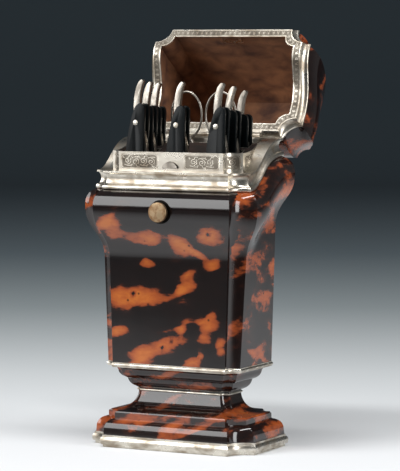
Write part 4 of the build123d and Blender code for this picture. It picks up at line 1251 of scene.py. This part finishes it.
@dataclass(frozen=True)
class Lid:
    """The domed lid: veneers, moulding, engraved frame and lining, made closed and then turned open."""

    counts: tuple[int, int, int] = (30, 30, 10)
    steps: tuple[int, int] = (12, 2)
    scroll_pitch: float = 6.4

    def chain(self) -> Chain:
        """The lid's face above its moulding."""
        base = LID_LEVEL + LID_MOULDING_HEIGHT
        return profile(
            out(LID_MOULDING_OUT - 1.4, base),
            (out(LID_SWELL - 0.6, base + 2.5), out(LID_SWELL, base + 7.0), out(LID_SWELL, base + 12.0)),
            (out(LID_SWELL, base + 20.0, 0.8), out(5.0, base + 29.0, 0.5), out(1.6, base + 38.0, 0.28)),
            (out(-1.4, base + 46.0, 0.1), out(-5.0, LID_TOP - 2.2, 0.0), out(-9.5, LID_TOP - 0.8, 0.0)),
            (out(-12.5, LID_TOP, 0.0),),
        )

    def wood(self) -> Chain:
        """The back of the veneers."""
        chain = []
        for stations in shifted(self.chain(), -VENEER):
            row = []
            for width, depth, notch, level, lift in stations:
                over = (level - LID_LEVEL) / (LID_TOP - LID_LEVEL)
                row.append((width, depth, notch, level - VENEER * over**3, lift))
            chain.append(row)
        return chain

    def moulding(self) -> Chain:
        """The face of the moulding round the lid's edge."""
        low = LID_LEVEL + LID_FRAME_SHEET
        top = LID_LEVEL + LID_MOULDING_HEIGHT
        bead = top - 2.0
        return profile(
            out(LID_RIM_OUT, low),
            (
                out(LID_RIM_OUT + 0.4, low + 1.6),
                out(LID_RIM_OUT + 1.2, bead - 0.3),
                out(LID_MOULDING_OUT - 0.5, bead),
            ),
            (
                out(LID_MOULDING_OUT + 0.2, bead + 0.4),
                out(LID_MOULDING_OUT + 0.2, top - 0.4),
                out(LID_MOULDING_OUT - 0.6, top),
            ),
        )

    def cavity(self, wall: float = 0.0) -> Chain:
        """The inside of the lid, or the back of its lining."""
        mouth = LID_MOUTH_OUT + wall
        return profile(
            out(mouth, LID_LEVEL + LID_FRAME_SHEET),
            (
                out(mouth + 3.0, LID_LEVEL + 15.0, 0.8),
                out(mouth + 0.8, LID_LEVEL + 34.0, 0.42),
                out(mouth - 5.0, LID_LEVEL + 52.0, 0.15),
            ),
            (out(mouth - 8.7, LID_TOP - LID_TOP_WALL + wall, 0.0),),
        )

    def frame_line(self, inward: float, step: float) -> list[Spot]:
        """Spots along the frame's underside, evenly apart.

        Args:
            inward: How far in from the frame's outer edge.
            step: The spacing in millimetres.

        Returns:
            The point, the outward direction and the way along, for each spot, with the lid closed.
        """
        station = out(LID_RIM_OUT - inward, LID_LEVEL)
        points = [Vector(p) for p in loop_of(station, RIM_OGEE, (40, 60, 16))]
        points.append(points[0])
        lengths = [0.0]
        for one, other in zip(points, points[1:]):
            lengths.append(lengths[-1] + (other - one).length)
        count = max(3, round(lengths[-1] / step))
        spots, here = [], 0
        for i in range(count):
            goal = lengths[-1] * i / count
            while lengths[here + 1] < goal:
                here += 1
            way = (points[here + 1] - points[here]).normalized()
            spot = points[here] + way * (goal - lengths[here])
            down = Vector((0, 0, -1))
            spots.append((spot, (down - way * down.dot(way)).normalized(), way))
        return spots

    def opened(self, item: Item) -> Item:
        """Turns a piece that was made with the lid closed."""
        item.data.transform(OPENED)
        return item

    def engraving(self, repeater: Repeater) -> None:
        """The running scroll and the border lines on the frame."""
        motif = bmesh.new()
        for stroke in scrollwork(1.0):
            points = [Vector((u * 1.25, v * 1.25, 0)) for u, v in stroke]
            wire(motif, points, [Vector((0, 0, 1))] * len(points), 0.3, 0.09)
        scroll = from_bmesh("frame_scroll", motif)
        spots = self.frame_line(LID_FRAME_WIDTH / 2, self.scroll_pitch / 2)
        item = repeater.run("lid_frame_scrolls", spots, scroll, FINISHES.made["silver"])
        bpy.data.objects.remove(scroll)
        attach(self.opened(item), "lid")
        lines = bmesh.new()
        for inward in (0.7, LID_FRAME_WIDTH - 0.7):
            line = self.frame_line(inward, 1.2)
            line.append(line[0])
            wire(lines, [s[0] for s in line], [s[1] for s in line], 0.3, 0.09)
        place(self.opened(from_bmesh("lid_frame_lines", lines)), "lid", "silver")
        outer, inner = LID_RIM_OUT - 0.8, LID_RIM_OUT - LID_FRAME_WIDTH + 0.8
        face, back = LID_LEVEL - 0.03, LID_LEVEL + 0.2
        forms = [out(outer, face), out(outer, back), out(inner, back), out(inner, face)]
        ground = swept("lid_matted_ground", forms, RIM_OGEE, counts=self.counts)
        place(self.opened(ground), "lid", "engraved")

    def build(self, repeater: Repeater) -> None:
        """Makes and dresses the lid's visible pieces."""
        forms = [backwards(self.wood()), self.chain()]
        shell = swept("lid_shell", forms, RIM_OGEE, True, self.counts, self.steps)
        nodes = ("lid_wall_veneers", "lid_corner_veneers", "lid_top_veneer")
        place(self.opened(shell), "lid", "shell", *nodes)
        low, top = LID_LEVEL + LID_FRAME_SHEET, LID_LEVEL + LID_MOULDING_HEIGHT
        forms = [self.moulding(), self.chain()[0][0], self.wood()[0][0]]
        forms += [out(LID_BLOCK_OUT, top), out(LID_BLOCK_OUT, low)]
        moulding = swept("lid_edge_ring", forms, RIM_OGEE, counts=self.counts)
        place(self.opened(moulding), "lid", "silver", "lid_moulding")
        edge = LID_RIM_OUT - LID_FRAME_WIDTH
        forms = [out(LID_RIM_OUT, LID_LEVEL), out(LID_RIM_OUT, low), out(edge, low), out(edge, LID_LEVEL)]
        rim = swept("lid_frame_sheet", forms, RIM_OGEE, counts=self.counts)
        cut(rim, leaf_cutter(181.0, 2.0))
        place(self.opened(rim), "lid", "silver", "lid_rim_frame")
        forms = [backwards(self.cavity()), self.cavity(LID_LINING)]
        lining = swept("lid_inside", forms, RIM_OGEE, True, self.counts, self.steps)
        place(self.opened(lining), "lid", "hide", "lid_lining")
        self.engraving(repeater)


# Tools

RAZORS = ("front_left", "middle_left", "rear_left", "front_centre")
RAZORS += ("front_right", "middle_right", "rear_right")


@dataclass(frozen=True)
class Tools:
    """The seven razors and the scissors, with their edges worn round."""

    scale_round: float = 0.7
    blade_round: float = 0.5
    pin_round: float = 0.35
    scissors_round: float = 0.25

    def build(self) -> None:
        """Softens and dresses every tool."""
        kinds = (("scales", self.scale_round, "horn"), ("blade", self.blade_round, "steel"))
        kinds += (("pins", self.pin_round, "silver"),)
        for name in RAZORS:
            for part, width, key in kinds:
                item = softened(f"razor_{name}_{part}", width, 3)
                FINISHES.dress(item, key)
        for name in ("scissors_left_half", "scissors_right_half", "scissors_screw"):
            FINISHES.dress(softened(name, self.scissors_round), "steel")
        LOG.info("tools: %d razors and the scissors", len(RAZORS))


def dress_nodes() -> None:
    """Gives the CAD nodes that stay their finishes."""
    keys = {
        "foot_core": "wood",
        "foot_baize": "baize",
        "body_carcase": "wood",
        "lid_carcase": "wood",
        # The tray and the cavity's lining take the near-black hide as painted shade.
        "tray": "painted_shade_hide",
        "lower_rack": "wood",
        "cavity_lining": "painted_shade_hide",
        "floor_pad": "pad",
        "slot_stringing": "silver",
        # The bush takes the near-black steel as painted shadow round the button.
        "button_bush": "shadow_black",
        "catch_spring": "steel",
        "catch_spring_foot": "brass",
        "lid_keeper": "silver",
        "hinge_body_leaf": "silver",
        "hinge_lid_leaf": "silver",
        "hinge_pin": "silver",
    }
    for node, key in keys.items():
        FINISHES.dress(frame["nodes"][node], key)
    item = softened("button", 0.3)
    FINISHES.dress(item, "gilt")


# Studio

def direction(azimuth: float, elevation: float) -> Vector:
    """The way out towards these angles in degrees, seen from the middle of the front."""
    a, e = math.radians(azimuth), math.radians(elevation)
    return Vector((math.sin(a) * math.cos(e), -math.cos(a) * math.cos(e), math.sin(e)))


def aimed(item: Item, place: Vector, back: Vector) -> None:
    """Sets a camera or lamp at a place in metres, with its back turned this way."""
    item.location = place
    item.rotation_mode = "QUATERNION"
    item.rotation_quaternion = back.to_track_quat("Z", "Y")


@dataclass(frozen=True)
class Studio:
    """The camera at the photograph's place, the floor and backdrop, and the soft lamps."""

    azimuth: float = 27.41
    elevation: float = 4.24
    distance: float = 1545.0
    focal_pixels: float = 2622.0
    aside: float = 6.01
    height: float = 124.03
    frame_height: float = 471.0
    sensor: float = 36.0
    floor_lit: float = 0.16
    floor_dark: float = 0.45
    lamp_target: float = 0.12
    near_edge: float = -3.0
    sweep_start: float = 2.8
    sweep_radius: float = 0.6
    wall_height: float = 4.0
    half_width: float = 4.0

    def camera(self) -> None:
        """Makes the camera."""
        a, back = math.radians(self.azimuth), direction(self.azimuth, self.elevation)
        right = Vector((math.cos(a), math.sin(a), 0))
        data = bpy.data.cameras.new("camera")
        data.sensor_width = self.sensor
        data.lens = self.focal_pixels * self.sensor / self.frame_height
        data.clip_start, data.clip_end = 0.05, 30.0
        item = linked("camera", data)
        target = Vector((0, 0, self.height)) + right * self.aside
        aimed(item, (target + back * self.distance) * MM, back)
        bpy.context.scene.camera = item

    def lamp(
        self, name: str, azimuth: float, elevation: float, reach: float, size: Flat, watts: float
    ) -> None:
        """Adds an area lamp that faces the case from a direction seen from the middle of its front."""
        way = direction(azimuth, elevation)
        data = bpy.data.lights.new(name, "AREA")
        data.shape = "RECTANGLE"
        data.size, data.size_y = size
        data.energy = watts
        item = linked(name, data)
        aimed(item, Vector((0, 0, self.lamp_target)) + way * reach, way)

    def backdrop(self) -> None:
        """Makes the pale floor, which sweeps up into a far wall; painted shade darkens it with distance
        behind the case and up the wall, and turns it near black in front of the case.
        """
        a = math.radians(self.azimuth)
        away = Vector((-math.sin(a), math.cos(a), 0))
        across = Vector((math.cos(a), math.sin(a), 0))
        start, radius = self.sweep_start, self.sweep_radius
        line = [(self.near_edge, 0.0), (start, 0.0)]
        for i in range(1, 13):
            b = math.pi / 2 * i / 12
            line.append((start + radius * math.sin(b), radius * (1 - math.cos(b))))
        line.append((start + radius, self.wall_height))
        vertices = []
        for d, z in line:
            for side in (-self.half_width, self.half_width):
                vertices.append(away * d + across * side + Vector((0, 0, z)))
        faces = [(2 * i + 1, 2 * i + 3, 2 * i + 2, 2 * i) for i in range(len(line) - 1)]
        mesh = bpy.data.meshes.new("backdrop")
        mesh.from_pydata([tuple(v) for v in vertices], [], faces)
        item = linked("backdrop", mesh)
        for polygon in mesh.polygons:
            polygon.use_smooth = True
        material, tree, shader = blank("backdrop_with_painted_shade", Roughness=0.9)
        parts = add(tree, "ShaderNodeSeparateXYZ", Vector=spread_of(tree))
        # Painted shade: the ramp darkens the floor with distance behind the case and up the wall, and the mix
        # turns the floor in front of the case near black.
        stops = ((0.0, "#e6e8ea"), (0.10, "#d3d7d9"), (0.24, "#a2abae"))
        stops += ((0.42, "#76838a"), (0.75, "#55626a"), (1.0, "#465259"))
        ahead = arithmetic(tree, "MULTIPLY", parts.outputs["X"], math.sin(a))
        ahead = arithmetic(tree, "MULTIPLY_ADD", parts.outputs["Y"], -math.cos(a), ahead)
        painted_falloff_share = arithmetic(tree, "MULTIPLY", ahead, -0.3)
        painted_falloff_share = arithmetic(tree, "MULTIPLY_ADD", parts.outputs["Z"], 0.3, painted_falloff_share)
        shade = eased(tree, ahead, (self.floor_lit, self.floor_dark), (0.0, 1.0))
        colour = mixed(tree, shade, ramp(tree, painted_falloff_share, stops), "#1c2326")
        tree.links.new(colour, shader.inputs["Base Color"])
        mesh.materials.append(material)
        item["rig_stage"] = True

    def build(self) -> None:
        """Makes everything that isn't the case."""
        self.camera()
        self.backdrop()
        self.lamp("overhead", 10.0, 72.0, 1.3, (1.1, 0.22), 13.0)
        self.lamp("key", -38.0, 24.0, 1.5, (0.9, 1.2), 17.0)
        self.lamp("side", 86.0, 12.0, 1.3, (0.5, 1.2), 15.0)
        world = bpy.data.worlds.new("studio")
        world.use_nodes = True
        world.node_tree.nodes["Background"].inputs["Color"].default_value = linear("#c9ced1")
        world.node_tree.nodes["Background"].inputs["Strength"].default_value = 0.2
        scene = bpy.context.scene
        scene.world = world
        scene.view_settings.view_transform = "Standard"


def note_sizes(sizes: dict, key: str) -> None:
    """Records the shown object's size in metres under a key."""
    low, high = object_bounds()
    sizes[key] = [round(b - a, 5) for a, b in zip(low, high)]


def main() -> None:
    """Builds the case's looks piece by piece."""
    logging.basicConfig(level=logging.INFO, format="%(name)s: %(message)s")
    sizes: dict = {}
    note_sizes(sizes, "loaded")
    repeater = Repeater()
    Foot().build(repeater)
    Body().build()
    Lid().build(repeater)
    Tools().build()
    dress_nodes()
    Studio().build()
    note_sizes(sizes, "dressed")


if __name__ == "__main__":
    main()
